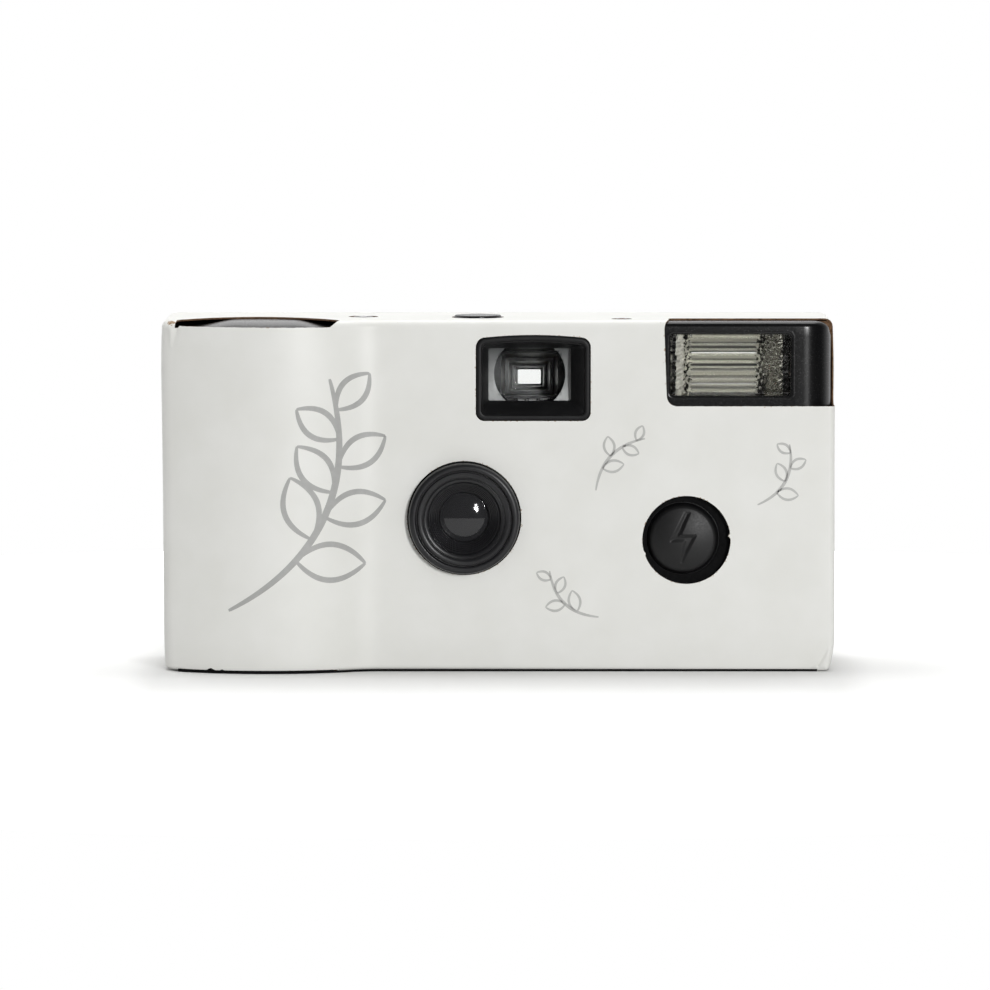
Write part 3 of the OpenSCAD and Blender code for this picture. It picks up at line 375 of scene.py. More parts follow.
def sheet(loops, inner, gap=0.3):
    """A flat sheet: edge loops and inner points joined by a constrained Delaunay triangulation."""
    edge = np.concatenate(loops)
    inner = inner[inside(inner, loops)]
    inner = inner[nearest(inner, edge) > gap]
    starts = np.cumsum([0] + [len(loop) for loop in loops])
    pairs = [(int(a + k), int(a + (k + 1) % (b - a))) for a, b in zip(starts[:-1], starts[1:])
             for k in range(b - a)]
    flat = [Vector(p) for p in np.vstack([edge, inner]).tolist()]
    found = delaunay_2d_cdt(flat, pairs, [], 0, 1e-7)
    points = np.array([tuple(p) for p in found[0]])
    faces = np.array(found[2])
    return points, faces[inside(points[faces].mean(1), loops)]


print("shapes ready: turned, loft, sheet")

# %% Walls, welds and pieces
def join(*parts):
    """Several sets of points and faces as one."""
    counts = np.cumsum([0] + [len(points) for points, faces in parts])
    faces = [[int(first + corner) for corner in face]
             for first, (points, faces) in zip(counts, parts) for face in faces]
    return np.vstack([points for points, faces in parts]), faces


def thicken(points, faces, depth):
    """A wall from a sheet: the sheet, a copy moved inwards along its normals, and a rim on each edge."""
    faces = np.asarray(faces)
    corner = points[faces]
    normal = np.cross(corner[:, 1] - corner[:, 0], corner[:, 2] - corner[:, 0])
    lean = np.zeros_like(points)
    for k in range(3):
        np.add.at(lean, faces[:, k], normal)
    lean /= np.linalg.norm(lean, axis=1, keepdims=True)
    inner = points - lean * depth
    count = len(points)
    edges = np.concatenate([faces[:, [0, 1]], faces[:, [1, 2]], faces[:, [2, 0]]])
    first, uses = np.unique(np.sort(edges, axis=1), axis=0, return_index=True, return_counts=True)[1:]
    rim = edges[first[uses == 1]]
    a, b = rim[:, 0], rim[:, 1]
    strip = np.arange(len(rim) * 4).reshape(-1, 4) + 2 * count
    rim_points = np.stack([points[b], points[a], inner[a], inner[b]], 1).reshape(-1, 3)
    everything = np.vstack([points, inner, rim_points])
    all_faces = faces.tolist() + (faces[:, ::-1] + count).tolist() + strip.tolist()
    tags = np.repeat([0, 1, 2], [len(faces), len(faces), len(rim)])
    return everything, all_faces, tags, np.unique(rim)


def welded(points, faces, gap=0.004):
    """Merge points that meet, drop faces that closed up, and turn every face outwards."""
    mesh = bpy.data.meshes.new("weld")
    mesh.from_pydata(np.asarray(points).tolist(), [], [list(face) for face in faces])
    work = bmesh.new()
    work.from_mesh(mesh)
    bmesh.ops.remove_doubles(work, verts=work.verts, dist=gap)
    bmesh.ops.recalc_face_normals(work, faces=work.faces)
    work.to_mesh(mesh)
    work.free()
    merged = np.empty(len(mesh.vertices) * 3)
    mesh.vertices.foreach_get("co", merged)
    kept = [list(face.vertices) for face in mesh.polygons]
    bpy.data.meshes.remove(mesh)
    return merged.reshape(-1, 3), kept


def piece(name, points, faces, finishes, body, slot, stands_for=(), tags=None, sharp=38):
    """Put points in mm and faces into a mesh with its finishes, and let it ride on a body of the frame."""
    mesh = bpy.data.meshes.new(name)
    mesh.from_pydata((np.asarray(points) * MM).tolist(), [], [list(face) for face in faces])
    for one in finishes:
        mesh.materials.append(one)
    if tags is not None:
        mesh.polygons.foreach_set("material_index", np.asarray(tags, np.int32))
    mesh.polygons.foreach_set("use_smooth", np.ones(len(mesh.polygons), bool))
    mesh.set_sharp_from_angle(angle=math.radians(sharp))
    mesh.update()
    made = bpy.data.objects.new(name, mesh)
    scene.collection.objects.link(made)
    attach(made, body)
    if stands_for:
        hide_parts(*stands_for)
    print(name, len(mesh.vertices), "points", len(mesh.polygons), "faces")
    return made


print("walls, welds and pieces ready")

# %% [markdown]
# ## Finishes of the card
# The sleeve is solid bleached card with a clay coat on the outside: bright, a touch warm, with the
# soft gloss of a varnished carton. Where it is cut, the brown core shows, and where it is folded or
# rubbed the coat cracks and lets tiny specks of the core through. The mesh says how close a point is
# to a cut or a fold, and fine noise breaks that up into specks.

# %% Card finishes
def clay_coated_card():
    """White clay coat on card: satin, faintly mottled fibre, scuffed to brown specks at cuts and folds."""
    material, tree, shader, place = mottled("clay_coated_card", "#F0F0EC", "#EBEBE6", patch=9.0, grain=0.12,
                                            depth=0.004, rough=(0.34, 0.46), Specular_IOR_Level=0.4)
    worn = add(tree, "Attribute", attribute_name="wear").outputs["Fac"]
    fleck = add(tree, "TexNoise", {"Vector": place, "Scale": 1 / (0.35 * MM), "Detail": 4.0})
    rub = add(tree, "Math", {0: worn, 1: fleck.outputs["Fac"]}, operation="MULTIPLY")
    bare = add(tree, "MapRange", {"Value": rub.outputs[0], "From Min": 0.52, "From Max": 0.66})
    lay_over(tree, shader, bare.outputs[0], "#9A7B57")
    return material


def kraft_back():
    """Uncoated brown back of the card: dull, with short dark and light fibres."""
    return mottled("kraft_back", "#B59A76", "#94785A", patch=0.9, grain=0.15, depth=0.02,
                   rough=(0.75, 0.9), Specular_IOR_Level=0.2)[0]


def cut_core():
    """Cut edge of the card: the brown core between its two faces, torn by the die; its dark brown is partly
    painted shade for the shadowed gap between card and casing.
    """
    # The brown is the core's own colour, made darker with painted shade.
    return mottled("cut_core", "#80634A", "#4E3826", patch=0.5, grain=0.1, depth=0.03,
                   rough=(0.7, 0.9), Specular_IOR_Level=0.2)[0]


card_finishes = [clay_coated_card(), kraft_back(), cut_core()]
print("card finishes:", ", ".join(one.name for one in card_finishes))

# %% [markdown]
# ## The outline that everything follows
# From above, the camera is a box with a round belly in front of the film cartridge. The outline is
# ten arcs and lines: up the left end, round a corner into the belly, through a hollow curve to the
# flat front, round the right end and back. One function gives the point and the outward direction at
# any distance along it, so a sheet can be drawn flat and bent round the camera.

# %% Outline of the sleeve and of the casing
BODY_W, BODY_H = 117.0, 61.0
FRONT_Y, BACK_Y = -17.275, 16.025
CART_X = -40.05
ARCH_R = 32.33
BLEND_R, LEFT_R, REAR_R = 12.0, 4.0, 2.6
CASE_IN, CASE_WALL = 0.65, 1.4
PART_Y = 6.975
ARC_STEP, ARC_TURN, LINE_STEP = 1.3, 0.14, 1.5
CARD_INSET, CARD_CORNER_R, CASE_CORNER_R = 0.04, 1.2, 5.0


def outline(inset, edge):
    """Pieces of the outline: an arc is (middle, radius, first and last angle), a line (start, None, end)."""
    half = BODY_W / 2 - inset
    arch = np.array([CART_X, FRONT_Y + ARCH_R])
    r_arch, r_left, r_rear = ARCH_R - inset, LEFT_R - inset, REAR_R - inset
    left_x = -half + r_left
    left = np.array([left_x, arch[1] - math.sqrt((r_arch - r_left) ** 2 - (left_x - arch[0]) ** 2)])
    blend_y = FLAT_Y - BLEND_R
    blend = np.array([arch[0] + math.sqrt((ARCH_R + BLEND_R) ** 2 - (blend_y - arch[1]) ** 2), blend_y])
    to_left = math.atan2(*(left - arch)[::-1]) + 2 * math.pi
    to_blend = math.atan2(*(blend - arch)[::-1]) + 2 * math.pi
    front, back = FLAT_Y + inset, BACK_Y - inset
    quarter = math.pi / 2
    return [((-half, back - r_rear), None, (-half, left[1])),
            (left, r_left, math.pi, to_left),
            (arch, r_arch, to_left, to_blend),
            (blend, BLEND_R + inset, to_blend - math.pi, quarter),
            ((blend[0], front), None, (half - edge, front)),
            (np.array([half - edge, front + edge]), edge, 3 * quarter, 4 * quarter),
            ((half, front + edge), None, (half, back - r_rear)),
            (np.array([half - r_rear, back - r_rear]), r_rear, 0.0, quarter),
            ((half - r_rear, back), None, (-half + r_rear, back)),
            (np.array([-half + r_rear, back - r_rear]), r_rear, quarter, 2 * quarter)]


def trace(parts):
    """The pieces with their lengths added up, and distances to sample them at: finer where they turn."""
    bend = [abs(part[3] - part[2]) if part[1] else 0.0 for part in parts]
    size = [turned_by * part[1] if part[1] else math.dist(part[0], part[2])
            for turned_by, part in zip(bend, parts)]
    begin = np.concatenate([[0], np.cumsum(size)])
    count = [math.ceil(max(n / ARC_STEP, turned_by / ARC_TURN) if turned_by else n / LINE_STEP)
             for n, turned_by in zip(size, bend)]
    samples = np.concatenate([np.linspace(a, b, n, endpoint=False)
                              for a, b, n in zip(begin[:-1], begin[1:], count)] + [begin[-1:]])
    return {"parts": parts, "begin": begin, "length": begin[-1], "samples": samples}


def along(path, s):
    """Point and outward direction at each distance: even along a line, evenly turned along an arc."""
    s = np.asarray(s, float)
    point, out = np.zeros((len(s), 2)), np.zeros((len(s), 2))
    which = np.clip(np.searchsorted(path["begin"], s, side="right") - 1, 0, len(path["parts"]) - 1)
    for k, part in enumerate(path["parts"]):
        here = which == k
        share = ((s[here] - path["begin"][k]) / (path["begin"][k + 1] - path["begin"][k]))[:, None]
        if part[1] is None:
            step = np.subtract(part[2], part[0])
            point[here] = part[0] + share * step
            out[here] = np.array([step[1], -step[0]]) / np.linalg.norm(step)
        else:
            angle = part[2] + share * (part[3] - part[2])
            spoke = np.hstack([np.cos(angle), np.sin(angle)])
            point[here] = part[0] + part[1] * spoke
            out[here] = spoke * math.copysign(1, part[3] - part[2])
    return point, out


def front_s(path, x):
    """Distance along the outline at which the front passes a place across the width."""
    s = np.linspace(path["begin"][1], path["begin"][6], 4000)
    return np.interp(x, along(path, s)[0][:, 0], s)


def right_s(path, y):
    """Distance along the outline at which the right end passes a depth."""
    return path["begin"][6] + y - path["parts"][6][0][1]


def wrapped(path, s, t, low, high, foot_r, head_r):
    """Sheet bent round the outline: t runs up it, with a quarter circle at the foot and one at the head."""
    quarter = foot_r * np.pi / 2
    wall = high - low - foot_r - head_r
    under = np.clip(t / quarter, 0, 1) * np.pi / 2
    over = np.clip((t - quarter - wall) / (head_r * np.pi / 2), 0, 1) * np.pi / 2
    z = low + foot_r * (1 - np.cos(under)) + np.clip(t - quarter, 0, wall) + head_r * np.sin(over)
    point, out = along(path, s)
    inset = foot_r * (1 - np.sin(under)) + head_r * (1 - np.cos(over))
    return np.column_stack([point - out * inset[:, None], z])


card_path = trace(outline(CARD_INSET, CARD_CORNER_R))
case_path = trace(outline(CASE_IN, CASE_CORNER_R))
print("the card goes", round(card_path["length"], 1), "mm round the camera")

# %% [markdown]
# ## The card sleeve
# One die-cut blank wraps the casing. It is drawn flat, with its windows, its round holes, the notch
# for the flash and the crescent where the card can't follow the belly, and then bent. A place on the
# flat sheet is a distance round the camera and a distance up the sheet, folds included. This cell
# turns places on the camera into places on the sheet.

# %% Lay out the sheet
FOLD_R, HEAD_R = 0.9, 1.6
CARD_T = 0.28
QUARTER = FOLD_R * math.pi / 2
WALL_END = QUARTER + BODY_H - FOLD_R - HEAD_R
SHEET_TOP = WALL_END + HEAD_R * math.pi / 2
LENS = (-5.8, 26.7)
FINDER_BEZEL = (-3.65, 15.95, 43.7, 58.3)
FLASH_CUT_X, FLASH_CUT_Z, FLASH_CUT_Y = 29.6, 46.1, FLAT_Y + 6.3
FLASH_BUTTON = (32.1, 23.05)
SHUTTER = (-3.45, -1.525)
COUNTER_WINDOW = (-23.45, -0.025)
READY_LAMP = (21.5, -7.525)
EYEPIECE = (5.55, 51.4)
BELLY_X0, BELLY_X1 = -56.1, -26.6
GAP_EASE = 0.2


def wall_t(z):
    """Place up the sheet of a height on the straight wall."""
    return QUARTER + np.asarray(z) - FOLD_R


def sheet_t(z):
    """Place up the sheet of a height that may lie on the lower or the upper fold."""
    z = np.asarray(z, float)
    on_foot = FOLD_R * np.arccos(1 - np.minimum(z, FOLD_R) / FOLD_R)
    on_head = WALL_END + HEAD_R * np.arcsin(np.clip((z - BODY_H) / HEAD_R + 1, 0, 1))
    return np.where(z < FOLD_R, on_foot, np.where(z > BODY_H - HEAD_R, on_head, wall_t(z)))


def front_loop(loop):
    """A loop in X and Z on the front as a loop on the flat sheet."""
    return np.column_stack([front_s(card_path, loop[:, 0]), wall_t(loop[:, 1])])


def back_loop(loop):
    """The same on the back, where the sheet runs from right to left."""
    back_start = card_path["begin"][8]
    return np.column_stack([back_start + (BODY_W / 2 - REAR_R) - loop[:, 0], wall_t(loop[:, 1])])


belly_gap = (front_s(card_path, BELLY_X0), front_s(card_path, BELLY_X1))
under_gap = (front_s(card_path, BELLY_X0 + 1), front_s(card_path, BELLY_X1 - 1))
flash_gap = (front_s(card_path, FLASH_CUT_X), right_s(card_path, FLASH_CUT_Y))
print("the sheet is", round(SHEET_TOP, 1), "mm high from fold to fold")

# %% [markdown]
# ## How the card has worn
# Real card is never quite flat. Shallow waves move it inwards by a tenth of a millimetre, it leans
# towards both folds, the upper left corner is buckled where two flaps meet, and the lower right corner
# has a dog-ear. All of this is one sum of smooth bumps that is added to the bent sheet.

# %% Wear the card
CREASE_X, CREASE_FALL = -56.6, 3.6
DOG_EAR_X, DOG_EAR_LEAN, DOG_EAR_W, DOG_EAR_FALL = 55.8, 0.5, 0.3, 3.6
LEAN_REACH = 9.0
WAVE, HEAD_LEAN, FOOT_LEAN, DOG_EAR, HOLLOW, CREASE = 0.14, 0.24, 0.18, 0.34, 0.2, 0.4
LEFT_LEAN, LEAN_X, LEAN_W = 0.45, -46, 12
RIGHT_TUCK, TUCK_X, TUCK_W, TUCK_H = 0.8, 54, 4.5, 6
FOOT_LIFT, LIFT_H = 0.28, 4


def clipped(value):
    """The value, kept between 0 and 1."""
    return np.clip(value, 0, 1)


def bump(gap, width):
    """A bell: 1 in its middle and nothing a few widths away."""
    return np.exp(-(gap / width) ** 2)


def dog_ear(s, t):
    """A short crease that leans away from the lower right corner and fades as it rises."""
    up = t - QUARTER
    from_line = s - front_s(card_path, DOG_EAR_X) - DOG_EAR_LEAN * up
    return bump(from_line, DOG_EAR_W) * clipped(1.3 - up / DOG_EAR_FALL) * clipped(t / QUARTER)


def buckle(s, t):
    """The corner at the upper left: a ridge that widens towards the fold, with a hollow beside it."""
    from_crease = s - front_s(card_path, CREASE_X)
    drop = clipped((WALL_END - t) / CREASE_FALL)
    crease = bump(from_crease, 0.55 * (1.1 - drop)) * (1 - drop)
    hollow = bump(from_crease - 1.2 + 0.9 * drop, 0.5) * (1 - drop)
    return HOLLOW * hollow - CREASE * crease


def card_wave(s, t):
    """How far the card leans in: whole waves round the sleeve, a lean towards both folds, and the creases."""
    calm = clipped(np.sin(np.pi * clipped((t - QUARTER) / (WALL_END - QUARTER)))) ** 0.6
    turn = 2 * np.pi * s / card_path["length"]
    wave = 0.5 + 0.3 * np.sin(5 * turn + 1.0) * np.sin(t / 9.0 + 0.5) + 0.2 * np.sin(11 * turn + t / 13.0)
    over = clipped(1 - (t - WALL_END) / (SHEET_TOP - WALL_END))
    head = clipped(1 - (WALL_END - t) / LEAN_REACH) ** 2 * over
    foot = clipped(1 - (t - QUARTER) / LEAN_REACH) ** 2 * clipped(t / QUARTER)
    return (WAVE * calm * wave + HEAD_LEAN * head + FOOT_LEAN * foot + DOG_EAR * dog_ear(s, t)
            + over * buckle(s, t))


def settled(points, lift=FOOT_LIFT):
    """How the worn camera sits: both ends lean in towards the foot, and the card's front foot is lifted."""
    x, y, z = np.asarray(points).T
    forward = clipped((9 - y) / 16)
    lean = LEFT_LEAN * clipped((LEAN_X - x) / LEAN_W) * forward * clipped(1 - z / BODY_H)
    tuck = RIGHT_TUCK * clipped((x - TUCK_X) / TUCK_W) * clipped(1 - z / TUCK_H) ** 2 * forward
    rise = lift * np.clip((70 - x) / 80, 0.3, 1) * clipped(1 - z / LIFT_H) * clipped((4 - y) / 8)
    return np.column_stack([x + lean - tuck, y, z + rise])


def on_card(s, t, lift=0.0):
    """Points of the card's outer face, or a little above it."""
    s, t = np.asarray(s, float), np.asarray(t, float)
    flat = wrapped(card_path, s, t, 0.0, BODY_H, FOLD_R, HEAD_R)
    out = along(card_path, s)[1]
    flat[:, :2] += out * (lift - card_wave(s, t))[:, None]
    return settled(flat)


print("the foot of the card is lifted by up to", FOOT_LIFT, "mm")

# %% [markdown]
# ## Cutting the wall
# The wall's edges are drawn as lines on the flat sheet: a raw edge along the crescent, a round notch
# for the flash, and a lip under the belly. Worn cuts wobble a little, so sines of unlike lengths move
# them about. The wall then gets a grid of inner points, finer where the card is creased.

# %% Cut the wall
RAW_EDGE_Z, NICK_DEPTH = 60.05, 0.35
CORNER_X = -56.2
LENS_HOLE_R, BUTTON_HOLE_R = 9.9, 7.65
BUTTON_NICKS = [(25.7, 20.6, -0.5), (40.2, 23.6, -0.45)]
SLOT_Z0, SLOT_Z1, SLOT_HALF = 50.6, 56.4, 11.0


def ragged(line, size, seed):
    """A cut line moved about by sines of unlike lengths, as a worn edge is."""
    run = np.concatenate([[0], np.cumsum(np.linalg.norm(np.diff(line, axis=0), axis=1))])
    waves = ((1.0, 2.3), (0.7, 5.9), (0.5, 11.3))
    wobble = sum(high * np.sin(run * pitch + k * seed) for k, (high, pitch) in enumerate(waves, 1))
    moved = line.copy()
    moved[1:-1, 1] += size * wobble[1:-1]
    return moved


def nicked(loop, spots):
    """A hole with small nicks: near each spot (x, z, size) its edge moves away from its middle or to it."""
    loop = dense(np.vstack([loop, loop[:1]]), 0.25)[:-1]
    away = loop - loop.mean(0)
    away /= np.linalg.norm(away, axis=1, keepdims=True)
    for x, z, size in spots:
        gap = np.linalg.norm(loop - (x, z), axis=1)
        loop = loop + away * (size * bump(gap, 0.3))[:, None]
    return loop


def runs(s, gaps, t):
    """The straight runs of an edge before, between and after its gaps."""
    limits = [-1.0]
    for first, last in gaps:
        limits += [first - GAP_EASE, last + GAP_EASE]
    limits.append(s[-1] + 1)
    return [level(s[(s > low) & (s < high)], t) for low, high in zip(limits[::2], limits[1::2])]


def head_edge(s):
    """Upper edge: raw and nicked where the crescent is cut, and notched round the flash."""
    raw_t, nick_t, foot = sheet_t(RAW_EDGE_Z), sheet_t(RAW_EDGE_Z - NICK_DEPTH), wall_t(FLASH_CUT_Z)
    (a, b), (c, d) = belly_gap, flash_gap
    raw = np.array([[a, SHEET_TOP], [a + 0.2, nick_t], [a + 0.7, nick_t], [a + 1.1, raw_t],
                    [b - 2.4, raw_t - 0.15], [b, SHEET_TOP]])
    notch = [[c, SHEET_TOP], [c - 0.8, WALL_END + 0.6], [c - 0.3, foot], [d, foot], [d, SHEET_TOP]]
    notch = soften(notch, 2.0, 9)
    left, middle, right = runs(s, (belly_gap, flash_gap), SHEET_TOP)
    return np.vstack([left, ragged(dense(raw, 0.5), 0.014, 1.0), middle,
                      ragged(dense(notch, 0.6), 0.012, 4.0), right])


def foot_edge(s):
    """Lower edge: under the belly it ends above the table, with two small dents."""
    first, last = under_gap
    u = np.linspace(0, 1, 70)
    lip_z = 0.3 - 0.06 * np.sin(np.pi * u) + 0.45 * bump(u - 0.2, 0.02) + 0.25 * bump(u - 0.275, 0.012)
    cut = np.column_stack([first + (last - first) * u, sheet_t(lip_z)])
    cut = np.vstack([[first - 0.1, 0], cut, [last + 0.1, 0]])
    left, right = runs(s, (under_gap,), 0.0)
    return np.vstack([left, dense(cut, 0.6), right])


def wall_holes():
    """Holes for the lens, the finder and the flash button in front, the eyepiece and the wheel behind."""
    x0, x1, z0, z1 = FINDER_BEZEL
    eye_x, eye_z = EYEPIECE
    button = circle((FLASH_BUTTON[0] + 0.6, FLASH_BUTTON[1] - 0.15), BUTTON_HOLE_R, 100)
    return [front_loop(circle(LENS, LENS_HOLE_R, 120)),
            front_loop(window_loop(x0 - 0.15, x1 + 0.15, z0 - 0.15, z1 - 0.45, 1.5, 0.6)),
            front_loop(nicked(button, BUTTON_NICKS)),
            back_loop(window_loop(eye_x - 5.6, eye_x + 5.6, eye_z - 4.4, eye_z + 4.4, 1.2)),
            back_loop(window_loop(CART_X - SLOT_HALF, CART_X + SLOT_HALF, SLOT_Z0, SLOT_Z1, 1.5))]


def sleeve_wall():
    """The sheet round the camera: its edges, its holes and a grid of points, bent into place."""
    s = card_path["samples"]
    up = np.concatenate([np.linspace(0, QUARTER, 6, endpoint=False)[1:], np.linspace(QUARTER, WALL_END, 44),
                         np.linspace(WALL_END, SHEET_TOP, 10)[1:-1]])
    right = np.column_stack([np.full(len(up), card_path["length"]), up])
    left = np.column_stack([np.zeros(len(up)), up[::-1]])
    edge = np.vstack([foot_edge(s), right, head_edge(s)[::-1], left])
    ear, corner = front_s(card_path, DOG_EAR_X), front_s(card_path, CORNER_X)
    near_ear = grid(np.arange(ear - 1, ear + 4, 0.2), np.arange(QUARTER + 0.1, QUARTER + 6, 0.25))
    near_corner = grid(np.arange(corner - 3, corner + 4, 0.25),
                       np.arange(SHEET_TOP - 8, SHEET_TOP - 0.5, 0.3))
    inner = np.vstack([grid(s[1:-1], up), near_ear + (0.03, 0.02), near_corner + (0.07, 0.04)])
    flat, faces = sheet([edge] + wall_holes(), inner, 0.2)
    return on_card(flat[:, 0], flat[:, 1]), faces


wall = sleeve_wall()
print("card wall of", len(wall[1]), "triangles")

# %% [markdown]
# ## Top, bottom and the finished sleeve
# The panels start where the folds end. Each gap in the fold is swapped for the line that the card is
# cut along: the crescent behind the belly and the step round the flash. Wall and panels are welded,
# given the card's thickness, and told how near each point is to a cut or a fold, where the coat wears.

# %% Close the sleeve
PLAN_STEP = 1.6
PLAN_X, PLAN_Y0, PLAN_Y1 = np.arange(-57, 57, PLAN_STEP), -16.0, 15.5
CRESCENT_DEPTH, UNDER_DEPTH = 11.0, 2.0
SHUTTER_HOLE_R, COUNTER_HOLE_R, LAMP_HOLE_R = 4.55, 2.6, 1.8
CUT_REACH, FOLD_REACH, FOLD_WEAR = 0.35, 0.3, 0.8
TORN_AT, TORN_SIZE, TORN = (-56.6, -12.3, BODY_H - 0.45), (1.8, 2.0, 0.7), 1.5


def fold_line(s, r):
    """Where a fold of a radius meets the flat top or bottom panel."""
    point, out = along(card_path, s)
    return point - out * r


def sleeve_panel(z, r, gaps, holes):
    """Top or bottom panel: the fold line, with each gap in it swapped for the line of the cut."""
    s = card_path["samples"][:-1]
    rim, last = [], 0.0
    for first, end, line in gaps:
        rim += [fold_line(s[(s >= last) & (s < first - GAP_EASE)], r), dense(line, 0.6)]
        last = end + GAP_EASE
    rim = np.vstack(rim + [fold_line(s[s >= last], r)])
    flat, faces = sheet([rim] + holes, grid(PLAN_X, np.arange(PLAN_Y0, PLAN_Y1, PLAN_STEP)), 0.5)
    return settled(level(flat, z)), faces


def crescent_line(first, end, r, depth):
    """The curved cut behind the belly: from fold to fold, deepest in its middle."""
    a, b = fold_line(np.array([first, end]), r)
    u = np.linspace(0, 1, 60)[:, None]
    return a + (b - a) * u + np.hstack([0 * u, depth * np.sin(np.pi * u) ** 0.75])


def wear(points, rim):
    """Nearness to a cut edge, to the middle of a fold or to the torn corner, from 0 to 1 or a little more."""
    fold = np.minimum(np.abs(points[:, 2] - 0.5), np.abs(points[:, 2] - (BODY_H - 0.4)))
    torn = np.linalg.norm((points - TORN_AT) / TORN_SIZE, axis=1)
    edge = np.maximum(np.exp(-nearest(points, rim) / CUT_REACH), FOLD_WEAR * bump(fold, FOLD_REACH))
    return np.maximum(edge, TORN * bump(torn, 1.0))


flash_ends = fold_line(np.array(flash_gap), HEAD_R)
flash_line = soften([flash_ends[0], [flash_ends[0, 0], FLASH_CUT_Y], flash_ends[1]], 1.2, 9)
top_gaps = [(*belly_gap, crescent_line(*belly_gap, HEAD_R, CRESCENT_DEPTH)), (*flash_gap, flash_line)]
top_holes = [circle(SHUTTER, SHUTTER_HOLE_R, 72), circle(COUNTER_WINDOW, COUNTER_HOLE_R, 48),
             circle(READY_LAMP, LAMP_HOLE_R, 40)]
top = sleeve_panel(BODY_H, HEAD_R, top_gaps, top_holes)
under_cut = (*under_gap, crescent_line(*under_gap, FOLD_R, UNDER_DEPTH))
bottom = sleeve_panel(0.0, FOLD_R, [under_cut], [])
card_points, card_faces = welded(*join(wall, top, (bottom[0], bottom[1][:, ::-1])))
card_points, card_faces, card_tags, card_rim = thicken(card_points, card_faces, CARD_T)
sleeve = piece("card_sleeve_folded", card_points, card_faces, card_finishes, "camera", "coated_card",
               ("card_sleeve",), card_tags, 60)
worn = sleeve.data.attributes.new("wear", "FLOAT", "POINT")
worn.data.foreach_set("value", wear(card_points, card_points[card_rim]).astype(np.float32))

# %% [markdown]
# ## The finishes of the plastics
# Almost everything dark is ABS or polystyrene from a mould. The casing was moulded against spark-eroded
# steel, which leaves a fine even grain and a satin sheen. The buttons and the finder's mouth are a
# little duller. Inside, the frame is matt so that no light creeps round to the film.

# %% Plastic finishes
def casing_abs():
    """Black ABS from a fine spark-eroded mould: satin, with soft broad highlights."""
    return mottled("casing_abs", "#0D0D0E", "#0A0A0B", patch=6.0, grain=0.3, depth=0.003, rough=(0.21, 0.28),
                   Specular_IOR_Level=0.36)[0]


def trim_abs():
    """Black ABS of the buttons: a finer, slightly duller texture than the casing."""
    return mottled("trim_abs", "#101011", "#0B0B0C", patch=4.0, grain=0.25, depth=0.003, rough=(0.4, 0.5),
                   Specular_IOR_Level=0.34)[0]


def ring_abs():
    """Black ABS of the lens ring, a shade greyer than the casing: partly the plain grey of the plastic,
    partly painted sheen standing for the satin glow of its flat band.
    """
    return mottled("ring_abs", "#212123", "#1A1A1C", patch=3.0, grain=0.2, depth=0.003, rough=(0.28, 0.36),
                   Specular_IOR_Level=0.4)[0]


def bezel_abs():
    """Black ABS of the finder's mouth: grained against glare, so it is duller than the rest of the casing."""
    return mottled("bezel_abs", "#1C1C1D", "#161617", patch=3.0, grain=0.25, depth=0.004, rough=(0.4, 0.5),
                   Specular_IOR_Level=0.22)[0]


def tunnel_styrene():
    """Dark grey polystyrene of the finder tunnel: dull, paler than the frame where light falls in."""
    return mottled("tunnel_styrene", "#262628", "#1D1D1F", patch=2.0, grain=0.3, depth=0.004,
                   rough=(0.3, 0.4), Specular_IOR_Level=0.5)[0]


def frame_styrene():
    """Matt black polystyrene of the inner frame, grained so that it swallows light."""
    return mottled("frame_styrene", "#0C0C0D", "#070708", patch=3.0, grain=0.4, depth=0.004, rough=(0.6, 0.8),
                   Specular_IOR_Level=0.1)[0]


def acetal():
    """Natural acetal: milky, waxy and slightly see-through in thin places."""
    return mottled("acetal", "#EDEBE2", "#DEDBCF", patch=2.5, grain=0.2, depth=0.004, rough=(0.3, 0.42),
                   Subsurface_Weight=0.15, Subsurface_Scale=0.0008)[0]


def lever_acetal():
    """Grey filled acetal of the levers: dull, with flow marks from the mould."""
    return mottled("lever_acetal", "#8B8F92", "#74787B", patch=1.6, grain=0.15, depth=0.006,
                   rough=(0.4, 0.55))[0]


def spool_styrene():
    """Black spools: smoother than the frame, polished by the film that runs over them."""
    return mottled("spool_styrene", "#202022", "#18181A", patch=5.0, grain=0.3, depth=0.005,
                   rough=(0.28, 0.4))[0]


casing, trim, inner_frame = casing_abs(), trim_abs(), frame_styrene()
ring_black_painted_sheen, bezel_black, tunnel_grey = ring_abs(), bezel_abs(), tunnel_styrene()
white_acetal, grey_acetal, spool_black = acetal(), lever_acetal(), spool_styrene()
print("plastics:", casing.name, trim.name, inner_frame.name, ring_black_painted_sheen.name, bezel_black.name,
      tunnel_grey.name, white_acetal.name, grey_acetal.name, spool_black.name)

# %% [markdown]
# ## Clear mouldings
# The lens, the finder, the flash window and the little windows are acrylic. Light has to get in
# behind them, and a path tracer finds that slow through real glass, so rays on their way to a lamp
# pass straight through and everything else sees a proper refracting surface. Faint moulding ripples
# and a trace of dust in the gloss keep them from looking like perfect crystal. The lens is tinted dark
# grey and is partly diffuse: painted shade that stands for the dark stop and shutter behind it, which
# also keeps its reflections clean.

# %% Clear finishes
ACRYLIC_IOR = 1.49
FLANGE_SHADE_Z0, FLANGE_SHADE_Z1 = 47.5, 55.5


